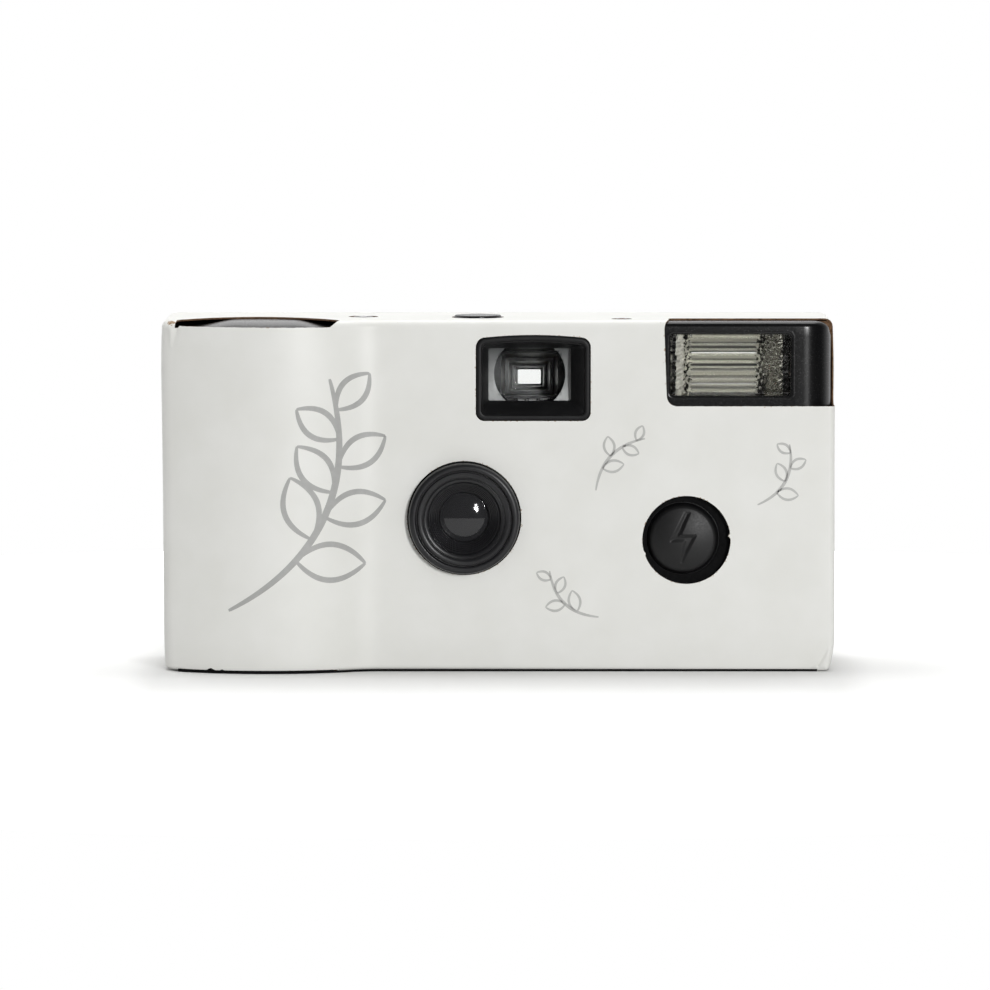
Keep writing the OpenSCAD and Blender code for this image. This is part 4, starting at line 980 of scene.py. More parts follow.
def clear_moulding(name, tint, rough, ripple, **sockets):
    """Refracting plastic that lets lamp light straight through: tint, gloss range and ripple size in mm."""
    sockets = {"Transmission_Weight": 1.0, "IOR": ACRYLIC_IOR, **sockets}
    material, tree, shader = mottled(name, tint, tint, patch=4.0, grain=ripple, depth=0.0015, rough=rough,
                                     **sockets)[:3]
    through = add(tree, "BsdfTransparent", {"Color": lin(tint)})
    path = add(tree, "LightPath")
    mixed = add(tree, "MixShader", {0: path.outputs["Is Shadow Ray"], 1: shader.outputs[0],
                                    2: through.outputs[0]})
    tree.links.new(mixed.outputs[0], tree.nodes["Material Output"].inputs["Surface"])
    return material


def frosted_acrylic():
    """Matt flange of the finder lens: pale at the foot, and greyer towards the top with painted shade."""
    material, tree, shader, place = mottled("frosted_acrylic", "#DADCDB", "#C0C3C2", patch=1.6, grain=0.2,
                                            depth=0.02, rough=(0.35, 0.6), Transmission_Weight=0.25,
                                            IOR=ACRYLIC_IOR)
    # Painted shade: grey laid over the frosting, darker towards the top of the flange.
    height = add(tree, "SeparateXYZ", {0: place}).outputs["Z"]
    share = add(tree, "MapRange", {"Value": height, "From Min": FLANGE_SHADE_Z0 * MM, "From Max": FLANGE_SHADE_Z1 * MM})
    lay_over(tree, shader, share.outputs[0], "#5C5E5E")
    return material


window_acrylic = clear_moulding("window_acrylic", "#FDFEFD", (0.0, 0.01), 3.0)
finder_acrylic = clear_moulding("finder_acrylic", "#FDFEFD", (0.0, 0.01), 3.0,
                                Specular_Tint=(0.05, 0.05, 0.05, 1.0))
# Painted shade: the lens is dark grey and partly diffuse, standing for the dark inside behind it.
lens_acrylic = clear_moulding("lens_acrylic", "#353537", (0.05, 0.08), 6.0, Transmission_Weight=0.3)
flash_acrylic = clear_moulding("flash_acrylic", "#FBFBF8", (0.0, 0.012), 2.5)
lamp_red = clear_moulding("lamp_red_acrylic", "#E0541C", (0.05, 0.14), 0.8)
tube_glass = clear_moulding("tube_quartz_glass", "#F2F2EE", (0.0, 0.03), 5.0)
frosted_shaded_top = frosted_acrylic()
print("clear mouldings ready")

# %% [markdown]
# ## The feet of the casing
# The card ends a little above the table, and a black foot shows below it as a thin line, a little
# deeper under the belly. Under the belly the foot is the casing's own bottom; along the flat front it
# is painted shadow, a black strip that stands for the dark contact line under the card. Each foot is a
# stack of copies of the outline's own line, and each copy has its height and how far it lies in.

# %% Lay the feet
SHADOW_PLINTH_END_X = 55.7
BELLY_STEPS = [(2.2, 0.8), (0.6, 0.8), (0.45, 0.62), (0.2, 0.5), (0.18, 0.15), (0.24, 0.05), (0.4, 0.02),
               (2.2, 0.02)]
SHADOW_PLINTH_STEPS = [(2.2, 0.26), (0.95, 0.26), (0.5, 0.32), (0.24, 0.4), (0.18, 0.3), (0.18, 0.1), (0.3, 0.02),
                (2.2, 0.02)]


def foot_strip(x0, x1, steps):
    """A ring of lines along the outline, one for each step of inset and height, with both ends closed."""
    s = np.linspace(front_s(card_path, x0), front_s(card_path, x1), 120)
    point, out = along(card_path, s)
    rows = [settled(level(point - out * inset, z), 0.0) for inset, z in steps]
    rows = np.stack(rows + rows[:1])
    k = np.arange(len(steps)) * len(s)
    caps = [k.tolist(), (k + len(s) - 1).tolist()[::-1]]
    return rows.reshape(-1, 3), lattice(len(steps) + 1, len(s), False).tolist() + caps


# Along the flat front the plinth is painted shadow: a black strip for the contact line under the card.
for name, x0, x1, steps in (("belly_foot", BELLY_X0 + 0.2, BELLY_X1 - 1.6, BELLY_STEPS),
                            ("front_plinth_painted_shadow", BELLY_X1 - 1.9, SHADOW_PLINTH_END_X, SHADOW_PLINTH_STEPS)):
    piece(name, *welded(*foot_strip(x0, x1, steps)), [inner_frame], "camera", "casing_black", sharp=40)

# %% [markdown]
# ## The front of the casing
# Under the card is a black shell. It shows at the belly's crescent, in the finder, and most of all
# round the flash, where it turns the corner with a soft radius of five millimetres. It is made like
# the sleeve: one sheet with holes, bent round an outline that lies a little further in, with a
# rounded edge at the top and bottom, then given its wall.

# %% Mould the front casing
CASE_LOW, CASE_HIGH = CASE_IN, BODY_H - 0.33
CASE_EDGE_R, CORNER_R = 1.0, 2.6
CASE_Y = FLAT_Y + CASE_IN
FLASH_WINDOW = (29.75, 50.85, 47.75, 58.65)
BROW_REACH, BROW_FALL, END_FALL = 8.0, 0.75, 0.8
FADE_X0, FADE_X1, FADE_Z, FADE_H = 25.6, 28.1, 58, 2
CASE_LENS_R, CASE_BUTTON_R = 9.0, 8.4
CASE_SHUTTER_R, CASE_COUNTER_R, CASE_LAMP_R = 4.52, 2.2, 1.35


def eased(value, low, high):
    """From 0 to 1 between two limits, level at both ends."""
    share = clipped((value - low) / (high - low))
    return share * share * (3 - 2 * share)


def moulded(points):
    """Soft shapes: the upper right corner is rounded, and the belly falls to the front and to its ends."""
    x, y, z = settled(points, 0.0).T
    right, high = x - (BODY_W / 2 - CASE_IN - CORNER_R), z - (CASE_HIGH - CORNER_R)
    far = np.hypot(right, high)
    shrink = np.where((right > 0) & (high > 0) & (far > CORNER_R), CORNER_R / np.maximum(far, 0.1), 1.0)
    from_edge = ARCH_R - np.hypot(x - CART_X, y - FRONT_Y - ARCH_R)
    brow = clipped(1 - from_edge / BROW_REACH)
    u = (x - BELLY_X0) / (BELLY_X1 - BELLY_X0)
    ends = 1 - eased(u, 0.12, 0.36) + eased(u, 0.7, 0.92)
    on_belly = eased(-x, FADE_X0, FADE_X1) * clipped((z - FADE_Z) / FADE_H)
    fall = (BROW_FALL * brow ** 2 + END_FALL * ends) * on_belly
    return np.column_stack([x + right * (shrink - 1), y, z + high * (shrink - 1) - fall])


def casing_span():
    """Distances along the casing's outline from one parting line, round the front, to the other."""
    first, last = case_path["parts"][0][0][1] - PART_Y, right_s(case_path, PART_Y)
    s = case_path["samples"]
    return np.concatenate([[first], s[(s > first + GAP_EASE) & (s < last - GAP_EASE)], [last]])


def casing_wall(s):
    """Wall with openings for the lens, the finder, the flash and its button, bent round the outline."""
    quarter = CASE_EDGE_R * math.pi / 2
    full = 2 * quarter + CASE_HIGH - CASE_LOW - 2 * CASE_EDGE_R
    up = np.concatenate([np.linspace(0, quarter, 6, endpoint=False)[1:],
                         np.linspace(quarter, full - quarter, 40),
                         np.linspace(full - quarter, full, 7)[1:-1]])
    left, right = [np.column_stack([np.full(len(up), end), up]) for end in (s[0], s[-1])]
    edge = np.vstack([level(s, 0.0), right, level(s, full)[::-1], left[::-1]])
    x0, x1, z0, z1 = FINDER_BEZEL
    holes = [circle(LENS, CASE_LENS_R, 96), window_loop(x0 + 0.3, x1 - 0.3, z0 + 0.3, z1 - 0.8, 1.3, 0.5),
             window_loop(*FLASH_WINDOW, 0.8), circle(FLASH_BUTTON, CASE_BUTTON_R, 80)]
    lift = quarter - CASE_EDGE_R - CASE_LOW
    holes = [np.column_stack([front_s(case_path, hole[:, 0]), hole[:, 1] + lift]) for hole in holes]
    flat, faces = sheet([edge] + holes, grid(s[1:-1], up), 0.25)
    return wrapped(case_path, *flat.T, CASE_LOW, CASE_HIGH, CASE_EDGE_R, CASE_EDGE_R), faces


def casing_lids(s):
    """Roof with three holes, and floor: the outline moved in by the edge's radius and closed behind."""
    point, out = along(case_path, s)
    rim = point - out * CASE_EDGE_R
    back = [rim[-1], [rim[-1, 0] - 0.05, PART_Y], [rim[0, 0] + 0.05, PART_Y], rim[0]]
    rim = np.vstack([rim, dense(np.array(back), PLAN_STEP)[1:-1]])
    coarse = grid(PLAN_X, np.arange(PLAN_Y0, PART_Y, PLAN_STEP))
    fine = grid(np.arange(-57, -25, 0.8), np.arange(-16.4, -4, 0.5))
    inner = np.vstack([coarse[nearest(coarse, fine) > 0.9], fine])
    holes = [circle(SHUTTER, CASE_SHUTTER_R, 64), circle(COUNTER_WINDOW, CASE_COUNTER_R, 40),
             circle(READY_LAMP, CASE_LAMP_R, 32)]
    roof, roof_faces = sheet([rim] + holes, inner, 0.5)
    ground, ground_faces = sheet([rim], inner, 0.5)
    return (level(roof, CASE_HIGH), roof_faces), (level(ground, CASE_LOW), ground_faces[:, ::-1])


case_span = casing_span()
case_points, case_faces = welded(*join(casing_wall(case_span), *casing_lids(case_span)))
case_points, case_faces = thicken(moulded(case_points), case_faces, CASE_WALL)[:2]
piece("front_casing", case_points, case_faces, [casing], "camera", "casing_black", ("front_cover",), sharp=50)

# %% [markdown]
# ## The finder's mouth
# The finder looks out through a funnel in the casing: a raised rim just inside the hole in the card,
# a small step, and four slopes that lead back to the lens. The funnel is off-centre, wider below and
# to the right. Loops of one shape, each at its own depth, are joined into a single skin.

# %% Loft the finder bezel
FINDER_LENS = (-1.6, 12.7, 46.8, 56.0)


def shrunk(box, by):
    """A box moved in on all four sides."""
    return (box[0] + by, box[1] - by, box[2] + by, box[3] - by)


def finder_bezel():
    """Rim, step and funnel: from the outer wall over the rim to the frame that holds the lens."""
    x0, x1, z0, z1 = FINDER_BEZEL
    outer = (x0, x1, z0, z1 - 0.6)
    face = FLAT_Y + 0.1
    steps = [(0.0, 1.6, 1.5), (0.0, 0.25, 1.5), (0.06, 0.08, 1.45), (0.22, 0.0, 1.3), (0.62, 0.0, 1.0),
             (0.76, 0.06, 0.9), (0.84, 0.28, 0.85), (0.9, 0.75, 0.8)]
    loops = [window_loop(*shrunk(outer, by), r, 0.6) for by, deep, r in steps]
    depths = [face + deep for by, deep, r in steps]
    mouth = np.array(shrunk(outer, 1.05))
    throat = np.array(FINDER_LENS)
    for share, deep in ((0.0, 0.85), (0.5, 2.2), (0.9, 3.35), (1.0, 3.7), (1.0, 5.2)):
        loops.append(window_loop(*(mouth + (throat - mouth) * share), 0.75 - 0.45 * share, 0.5 * (1 - share)))
        depths.append(face + deep)
    return loft(loops, depths)


piece("finder_bezel", *finder_bezel(), [bezel_black], "camera", "casing_black", sharp=30)

# %% [markdown]
# ## The finder's lenses and tunnel
# The front lens is a rectangle of acrylic with a round dish in its face, which makes the view small
# and the far window bright and tiny. Its corners outside the dish are matt. Behind it a tunnel steps
# down to the eyepiece in dark grey frames.

# %% Make the finder
FINDER_MID = EYEPIECE
FINDER_LENS_Y = -7.075
DISH_R, DISH_DEPTH = 6.2, 1.3
PLATE_T, FLANGE_BEND, BACK_LEAN = 2.0, 0.024, 0.09


def finder_lens():
    """Flat plate with a ball-shaped dish: depth falls from the dish's rim to its middle as on a sphere."""
    x0, x1, z0, z1 = shrunk(FINDER_LENS, -0.1)
    ball = (DISH_R ** 2 + DISH_DEPTH ** 2) / (2 * DISH_DEPTH)
    edge = dense([[x0, z0], [x1, z0], [x1, z1], [x0, z1], [x0, z0]], 0.5)[:-1]
    rim = circle(FINDER_MID, DISH_R, 140)
    rim = rim[np.abs(rim[:, 1] - FINDER_MID[1]) < (z1 - z0) / 2 - 0.12]
    inner = grid(np.arange(x0, x1, 0.4), np.arange(z0, z1, 0.4))
    inner = inner[nearest(inner, rim) > 0.2]
    flat, faces = sheet([edge], np.vstack([inner, rim]), 0.1)
    off = np.hypot(flat[:, 0] - FINDER_MID[0], flat[:, 1] - FINDER_MID[1])
    dish = np.sqrt(np.maximum(ball ** 2 - off ** 2, 0)) - (ball - DISH_DEPTH)
    up = flat[:, 1] - FINDER_MID[1]
    flange = np.where(off > DISH_R, FLANGE_BEND * up ** 2, 0.0)
    front = np.column_stack([flat[:, 0], FINDER_LENS_Y + np.maximum(dish, 0) - flange, flat[:, 1]])
    back = np.column_stack([flat[:, 0], FINDER_LENS_Y + PLATE_T + BACK_LEAN * up, flat[:, 1]])
    count, ring = len(flat), len(edge)
    k = np.arange(ring)
    side = np.column_stack([k, (k + 1) % ring, (k + 1) % ring + count, k + count])
    everything = faces.tolist() + (faces[:, ::-1] + count).tolist() + side.tolist()
    outside = np.hypot(*(flat[faces].mean(1) - FINDER_MID).T) > DISH_R
    tags = np.concatenate([outside, np.zeros(len(faces) + ring)]).astype(int)
    return np.vstack([front, back]), everything, tags


def finder_tunnel():
    """Frames that step down from the lens, and dip a little, to a small mask in front of the eyepiece."""
    cx, cz = FINDER_MID
    bore = [(7.6, 5.1, -4.4, 0), (7.0, 4.6, -4.3, 0), (7.0, 4.6, -2.2, 0.2), (5.6, 4.2, -2.1, 0.3),
            (5.4, 4.0, 2.6, 0.7), (4.6, 3.3, 2.7, 0.7), (4.4, 3.1, 7.4, 1.0), (3.7, 2.5, 7.5, 1.0),
            (3.6, 2.4, 12.0, 1.2), (3.2, 2.0, 12.1, 1.2), (3.2, 2.0, 12.8, 1.2)]
    outer = [(4.6, 3.5, 12.85, 0.4), (5.4, 4.6, 6.0, 0.2), (7.9, 5.4, -4.0, 0), (8.1, 5.6, -7.0, 0),
             (7.6, 5.1, -7.0, 0), (7.6, 5.1, -4.4, 0)]
    loops = [window_loop(cx - w, cx + w, cz - h - dip, cz + h - dip, 0.35) for w, h, y, dip in bore + outer]
    return loft(loops, [y for w, h, y, dip in bore + outer])


lens_points, lens_faces, lens_tags = finder_lens()
piece("finder_dish_lens", lens_points, lens_faces, [finder_acrylic, frosted_shaded_top], "camera", "clear_acrylic",
      ("finder_front_lens",), lens_tags, 25)
piece("finder_tunnel", *welded(*finder_tunnel()), [tunnel_grey], "camera", "frame_black", ("finder_tube",),
      sharp=30)

# %% [markdown]
# ## The lens ring and the lens
# The ring is a turned shape: a flat satin band, a dark groove, two steps, and a bowl of fine ridges
# that break up stray light on its way to the lens. The lens itself is one small piece of acrylic, bent
# the same way in front and behind.

# %% Turn the lens ring
RING_Y = -14.875
LENS_SEAT_Y = -10.025
DOME_R, DOME_RISE, DOME_T = 4.0, 0.7, 1.2


def lens_ring():
    """Profile of radius and depth behind the ring's face, with six small baffles down the bowl."""
    bowl = np.linspace([6.1, 1.45], [4.4, 4.2], 7)
    ledge = np.column_stack([bowl[1:, 0] + 0.05, bowl[:-1, 1] + 0.12])
    stairs = np.stack([bowl[:-1], ledge], 1).reshape(-1, 2)
    outside = [[9.0, 5.6], [9.0, 3.05], [9.6, 3.0], [9.6, 0.6], [9.42, 0.16], [9.0, 0.0], [8.6, 0.0],
               [8.38, 0.2], [8.34, 0.9], [8.08, 0.9], [8.04, 0.26], [7.5, 0.3], [7.14, 0.44], [7.06, 0.7],
               [6.94, 0.7], [6.86, 0.55], [6.4, 0.72], [6.2, 1.3]]
    inside_rim = [[4.3, 4.3], [4.2, 4.75], [5.3, 4.8], [5.3, 5.9], [9.0, 5.9], [9.0, 5.6]]
    return soften(np.vstack([outside, stairs, inside_rim]), 0.09, 4)


def lens_dome():
    """A meniscus: a shallow ball-shaped front on a flanged disc, with a back of the same bend."""
    r = np.linspace(0, DOME_R, 24)
    ball = (DOME_R ** 2 + DOME_RISE ** 2) / (2 * DOME_RISE)
    bulge = ball - DOME_RISE - np.sqrt(ball ** 2 - r ** 2)
    front, back = np.column_stack([r, bulge]), np.column_stack([r, bulge + DOME_T])[::-1]
    flange = [[4.05, 0.02], [5.1, 0.02], [5.2, 0.1], [5.2, 1.1], [5.1, DOME_T], [4.05, DOME_T]]
    return np.vstack([front, flange, back])


ring_skin = turned(lens_ring(), (LENS[0], RING_Y, LENS[1]), "y", 160)
piece("lens_ring_turned", *welded(*ring_skin), [ring_black_painted_sheen], "camera", "trim_black", ("lens_ring",), sharp=28)
dome_skin = turned(lens_dome(), (LENS[0], LENS_SEAT_Y, LENS[1]), "y", 96)
piece("lens_dome", *welded(*dome_skin), [lens_acrylic], "camera", "lens_acrylic", ("taking_lens",), sharp=30)

# %% [markdown]
# ## Metals
# The flash has a trough of bright rolled aluminium. Its left part is a little milky with lacquer, and
# the foil at its right end is a plain mirror. The springs, contacts and caps inside are bare metal, so
# one short function covers them all: two close tints, a grain and a range of gloss.

# %% Metals
def rolled_aluminium(name, metallic):
    """Rolled and bright-dipped aluminium sheet: mirror-like along the roll, softly streaked across it."""
    material, tree, shader, place = start(name, Metallic=metallic)
    rolled = add(tree, "Mapping", {"Vector": place, "Scale": (40.0, 900.0, 900.0)})
    streak = add(tree, "TexNoise", {"Vector": rolled.outputs[0], "Scale": 1.0, "Detail": 3.0})
    gloss = add(tree, "MapRange", {"Value": streak.outputs["Fac"], "To Min": 0.03, "To Max": 0.12})
    tint = add(tree, "Mix", {0: streak.outputs["Fac"], 6: lin("#B4B3AD"), 7: lin("#D6D5CF")},
               data_type="RGBA")
    tree.links.new(tint.outputs[2], shader.inputs["Base Color"])
    tree.links.new(gloss.outputs[0], shader.inputs["Roughness"])
    return material


def plain_metal(name, light, dark, grain, rough):
    """Bare sheet or wire: colour and gloss vary with the grain of the drawn or stamped surface; mm."""
    return mottled(name, light, dark, patch=2.0, grain=grain, depth=0.002, rough=rough, Metallic=1.0)[0]


aluminium = rolled_aluminium("bright_aluminium", 0.65)
mirror_foil = rolled_aluminium("mirror_aluminium", 1.0)
blade_steel = plain_metal("blued_steel", "#15171A", "#0D0E10", 0.3, (0.35, 0.5))
spring_steel = plain_metal("spring_steel", "#B9BABC", "#8E9093", 0.12, (0.2, 0.35))
cap_steel = plain_metal("tinplate", "#C3C4C4", "#A5A7A8", 0.4, (0.22, 0.38))
brass = plain_metal("contact_brass", "#D9B968", "#BE9A4B", 0.25, (0.22, 0.4))
tinned = plain_metal("tinned_wire", "#C9CACB", "#A9ABAC", 0.15, (0.25, 0.4))
print("metals ready")

# %% [markdown]
# ## The flash
# Behind a clear window lies a trough of bright aluminium. The back of the window has small round bars
# of unlike height, so the trough shows in stripes. Past the ends of the bars the window is crumpled
# and the trough has a gap, which leaves the dark ragged bands beside the stripes, and past each gap
# lies a shelf of dented foil.

# %% Build the flash
FLASH_MID_Z = 53.2
FLASH_LENS_Y0, FLASH_LENS_Y1 = CASE_Y + 0.3, -9.575
TROUGH_X0, TROUGH_X1 = 31.2, 49.0
TROUGH_Y0, TROUGH_Y1, TROUGH_HALF = -9.4, -2.625, 4.9
BAR_PITCH = 1.0
BARS_X0, BARS_X1 = 33.3, 44.9
GAP_X0, GAP_X1 = 32.3, 46.4
LUGS = ((50.0, 55.0), (50.0, 52.4), (30.3, 54.4), (30.3, 52.6))
CRUMPLES = ((6.1, 3.7), (-4.9, 6.6), (7.9, -2.1), (2.3, 8.4))
FLAP_X, FLAP_Z, FLAP_STEPS = (54.8, 57.95), (57.4, 60.5), 8
FLAP_T, FOIL_T = 0.3, 0.3


def flash_frame():
    """Rounded lip of the casing round the window, leading back to the clear plate."""
    steps = [(-0.55, -0.02), (-0.3, -0.05), (-0.08, 0.0), (0.06, 0.15), (0.12, 0.5), (0.14, 1.5), (-0.5, 1.6),
             (-0.6, 0.2), (-0.55, -0.02)]
    loops = [window_loop(*shrunk(FLASH_WINDOW, by), 0.8 - min(by, 0.5) * 0.5) for by, deep in steps]
    return loft(loops, [CASE_Y + deep for by, deep in steps])


def slab(x, z, front, back):
    """A plate between two surfaces over the same grid, closed round its border."""
    nx, nz = len(x), len(z)
    gx, gz = np.meshgrid(x, z, indexing="ij")
    points = np.concatenate([np.stack([gx, y, gz], -1).reshape(-1, 3) for y in (front, back)])
    quads = lattice(nx, nz, False)
    k = np.arange(nx * nz).reshape(nx, nz)
    border = np.concatenate([k[:, 0], k[-1, 1:], k[-2::-1, -1], k[0, -2:0:-1]])
    after = np.roll(border, -1)
    side = np.column_stack([border, after, after + nx * nz, border + nx * nz])
    return points, quads.tolist() + (quads[:, ::-1] + nx * nz).tolist() + side.tolist()


def flash_plate():
    """Clear plate: round bars of unlike height along its back, and a crumpled margin past their ends."""
    x0, x1, z0, z1 = shrunk(FLASH_WINDOW, 0.2)
    x, z = np.linspace(x0, x1, 200), np.linspace(z0, z1, 191)
    gx, gz = np.meshgrid(x, z, indexing="ij")
    border = np.minimum(np.minimum(gx - x0, x1 - gx), np.minimum(gz - z0, z1 - gz))
    lugs = sum(np.exp(-((gx - lug_x) / 0.45) ** 4 - ((gz - lug_z) / 0.4) ** 4) for lug_x, lug_z in LUGS)
    front = FLASH_LENS_Y0 + 0.3 * clipped(1 - border / 0.5) ** 2 - 0.2 * lugs
    bars = np.abs(np.sin(np.pi * (gz + 0.12 * np.sin(1.9 * gz) - z0 - 0.3) / BAR_PITCH))
    height = 0.34 + 0.025 * np.sin(2.6 * gz + 1.0)
    rag = 0.18 * np.sin(7.1 * gz) + 0.14 * np.sin(12.7 * gz + 1.0)
    ribbed = clipped((gx - BARS_X0 - rag) / 0.15) * clipped((BARS_X1 + rag - gx) / 0.15)
    crumple = sum(np.sin(a * gx + b * gz + a) for a, b in CRUMPLES)
    ripple = 0.01 * np.sin(15 * gz + np.sin(3 * gz))
    back = FLASH_LENS_Y1 - ribbed * (height * (1 - bars) + ripple) - 0.04 * (1 - ribbed) * (crumple + 4)
    return slab(x, z, front, back)


def flash_trough():
    """Trough of parabolic section, with a dented shelf past a gap at each end; the right one leans."""
    across, along_x = np.linspace(-1.07, 1.07, 61), np.linspace(TROUGH_X0 - 0.35, TROUGH_X1 + 0.35, 120)
    u, x = np.meshgrid(across, along_x, indexing="ij")
    z = FLASH_MID_Z + TROUGH_HALF * u
    end = np.interp(x, [GAP_X0, BARS_X0, BARS_X1, GAP_X1, TROUGH_X1], [1, 0, 0, 0.6, 1])
    rise = clipped(np.maximum(u ** 2, end))
    dent = 0.09 * (np.sin(6.3 * x + 2.0 * z) + np.sin(4.1 * x - 7.7 * z)) * (end > 0.5)
    y = TROUGH_Y1 - (TROUGH_Y1 - TROUGH_Y0) * rise + dent
    points, faces = np.stack([x, y, z], -1).reshape(-1, 3), lattice(*u.shape, False)
    mid = points[faces].mean(1)
    rag = 0.2 * np.sin(5.3 * mid[:, 2]) + 0.12 * np.sin(11.9 * mid[:, 2])
    left_gap = (mid[:, 0] > GAP_X0 + rag) & (mid[:, 0] < BARS_X0 - 0.2)
    right_gap = (mid[:, 0] > BARS_X1 + 0.2) & (mid[:, 0] < GAP_X1 + rag)
    flange = np.abs(mid[:, 2] - FLASH_MID_Z) > TROUGH_HALF
    return points, faces[~(left_gap | right_gap) | flange]


# The end flap takes the cut core's dark brown as painted shade: the flap lies in shadow at the corner.
flap_y = np.full((FLAP_STEPS, FLAP_STEPS), FLASH_CUT_Y + 0.05)
flap = slab(np.linspace(*FLAP_X, FLAP_STEPS), np.linspace(*FLAP_Z, FLAP_STEPS), flap_y, flap_y + FLAP_T)
piece("flap_end_shaded", *flap, [card_finishes[2]], "camera", "coated_card")
piece("flash_frame", *welded(*flash_frame()), [casing], "camera", "casing_black", sharp=40)
piece("flash_window", *welded(*flash_plate()), [flash_acrylic], "camera", "clear_acrylic", ("flash_lens",),
      sharp=30)
trough_points, trough_faces = flash_trough()
halves = np.concatenate([trough_faces[:, [0, 1, 2]], trough_faces[:, [0, 2, 3]]])[:, ::-1]
trough_points, trough_faces = thicken(trough_points, halves, -FOIL_T)[:2]
on_foil = [int(trough_points[face, 0].mean() > GAP_X1 - 0.5) for face in trough_faces]
piece("flash_trough", trough_points, trough_faces, [aluminium, mirror_foil], "camera", "reflector_alu",
      ("flash_reflector",), on_foil, 50)

# %% [markdown]
# ## Buttons and windows
# The flash button is a domed cap with a sunk bolt, a plain sign for electricity. The shutter button
# is a low drum that pokes out of the roof on an arm. Both are turned, with soft rims.

# %% Turn the buttons
FLASH_FACE_Y = CASE_Y - 0.9
CROWN_R = 5.3
BOLT = np.array([(1.05, 4.5), (0.5, 4.5), (-2.0, -0.35), (0.3, -0.35), (-0.2, -4.0), (2.1, 0.5), (-0.6, 0.5)])
BOLT_DEPTH, BOLT_SLOPE = 0.22, 0.6
STEM_FOOT = (-5.85, -6.975, 47.4)
ARM_BOX, ARM_Z = (SHUTTER[0] - 5.3, -4.65, -8.175, SHUTTER[1] + 1.5), (57.6, 58.7)
DRUM_Z = 58.4


def dome_y(r):
    """Depth of the button's face behind its top: grows with the square of the radius."""
    return 0.3 + 0.7 * (np.asarray(r) / CROWN_R) ** 2


def within(flat, corners, lean):
    """How far points lie inside a shape, from 0 to 1 across a slope: by distance to its nearest side."""
    step = np.roll(corners, -1, axis=0) - corners
    to = flat[:, None] - corners[None]
    share = clipped((to * step).sum(-1) / (step ** 2).sum(-1))
    gap = np.linalg.norm(to - share[..., None] * step, axis=-1).min(1)
    return clipped(0.5 + np.where(inside(flat, [corners]), gap, -gap) / lean)


def flash_cap():
    """Cap with a low dome and a soft shoulder, standing on a flange; the bolt is sunk into the dome."""
    crown = np.linspace(0, CROWN_R, 70)
    face = np.column_stack([crown, dome_y(crown)])
    side = soften([[CROWN_R, 1.0], [5.75, 1.25], [6.1, 1.75], [6.1, 2.4], [7.0, 2.4], [7.0, 2.9], [1.6, 2.95],
                   [1.6, 3.1], [0.0, 3.1]], 0.35, 6)
    points, faces = turned(np.vstack([face, side[1:]]), (0, 0, 0), "y", 200)
    sunk = within(points[:, [0, 2]], BOLT, BOLT_SLOPE)
    points[:, 1] += BOLT_DEPTH * sunk * (points[:, 1] < 1.3)
    return points + (FLASH_BUTTON[0], FLASH_FACE_Y, FLASH_BUTTON[1]), faces


def button_well():
    """Sunk ring in the casing: a steep wall and a dark floor round the button."""
    profile = [[8.7, 1.4], [8.7, -0.02], [8.36, -0.02], [8.28, 1.2], [6.5, 1.3], [6.3, 1.4], [8.7, 1.4]]
    return turned(soften(profile, 0.15, 5), (FLASH_BUTTON[0], CASE_Y, FLASH_BUTTON[1]), "y", 112)


def shutter_drum():
    """Low drum with a soft rim and a faint dish, above the arm and the stem that work the release."""
    profile = soften([[0.0, 2.97], [3.0, 2.98], [3.9, 3.0], [4.1, 2.8], [4.1, 0.0], [0.0, 0.0]], 0.2, 6)
    drum = turned(profile, (*SHUTTER, DRUM_Z), "z", 96)
    arm_loop = window_loop(*ARM_BOX, 0.6)
    rings = [level(arm_loop, z) for z in ARM_Z]
    caps = [level([arm_loop.mean(0)], z) for z in ARM_Z]
    n = len(arm_loop)
    k = np.arange(n)
    fans = np.concatenate([np.column_stack([(k + 1) % n, k, np.full(n, 2 * n)]),
                           np.column_stack([k + n, (k + 1) % n + n, np.full(n, 2 * n + 1)])])
    arm = np.vstack(rings + caps), lattice(2, n).tolist() + fans.tolist()
    stem = turned([[0.0, 0.0], [0.75, 0.0], [0.9, 0.15], [0.9, 11.0], [0.0, 11.0]], STEM_FOOT, "z", 32)
    return drum, arm, stem


piece("flash_cap", *welded(*flash_cap()), [trim], "flash_key", "trim_black", ("flash_button",), sharp=35)
piece("button_well", *welded(*button_well()), [inner_frame], "camera", "casing_black", sharp=35)
drum, arm, stem = shutter_drum()
piece("shutter_drum", *welded(*drum), [casing], "button", "trim_black", ("shutter_button",), sharp=35)
for name, mid, r, node, finish, slot in (
        ("counter_dome", COUNTER_WINDOW, 2.15, "counter_window", window_acrylic, "clear_acrylic"),
        ("lamp_dome", READY_LAMP, 1.3, "lamp_window", lamp_red, "lamp_lens")):
    dome = soften([[0.0, 61.15], [0.6 * r, 61.1], [r, 60.75], [r, 59.3], [0.0, 59.3]], 0.3, 6)
    piece(name, *welded(*turned(dome, (*mid, 0.0), "z", 64)), [finish], "camera", slot, (node,), sharp=35)
piece("shutter_arm", *welded(*arm), [trim], "button", "trim_black", sharp=35)
piece("shutter_stem", *welded(*stem), [trim], "button", "trim_black", sharp=35)

# %% [markdown]
# ## Print on the card
# The front carries line drawings in grey ink. Each line is a thin ribbon that follows the card's
# bend, wider in the middle of a stroke than at its ends, as a brush would leave it. The drawings here
# are plain sprigs: one large on the belly and three small ones.

# %% Print the sprigs
INK_LIFT, INK_SUNK = 0.025, -0.05
LEAF_ANGLE, LEAF_BOW = 52, 0.26
SMALL_LEAVES, SMALL_LEAF, SMALL_LINE = 4, 3.8, 0.55


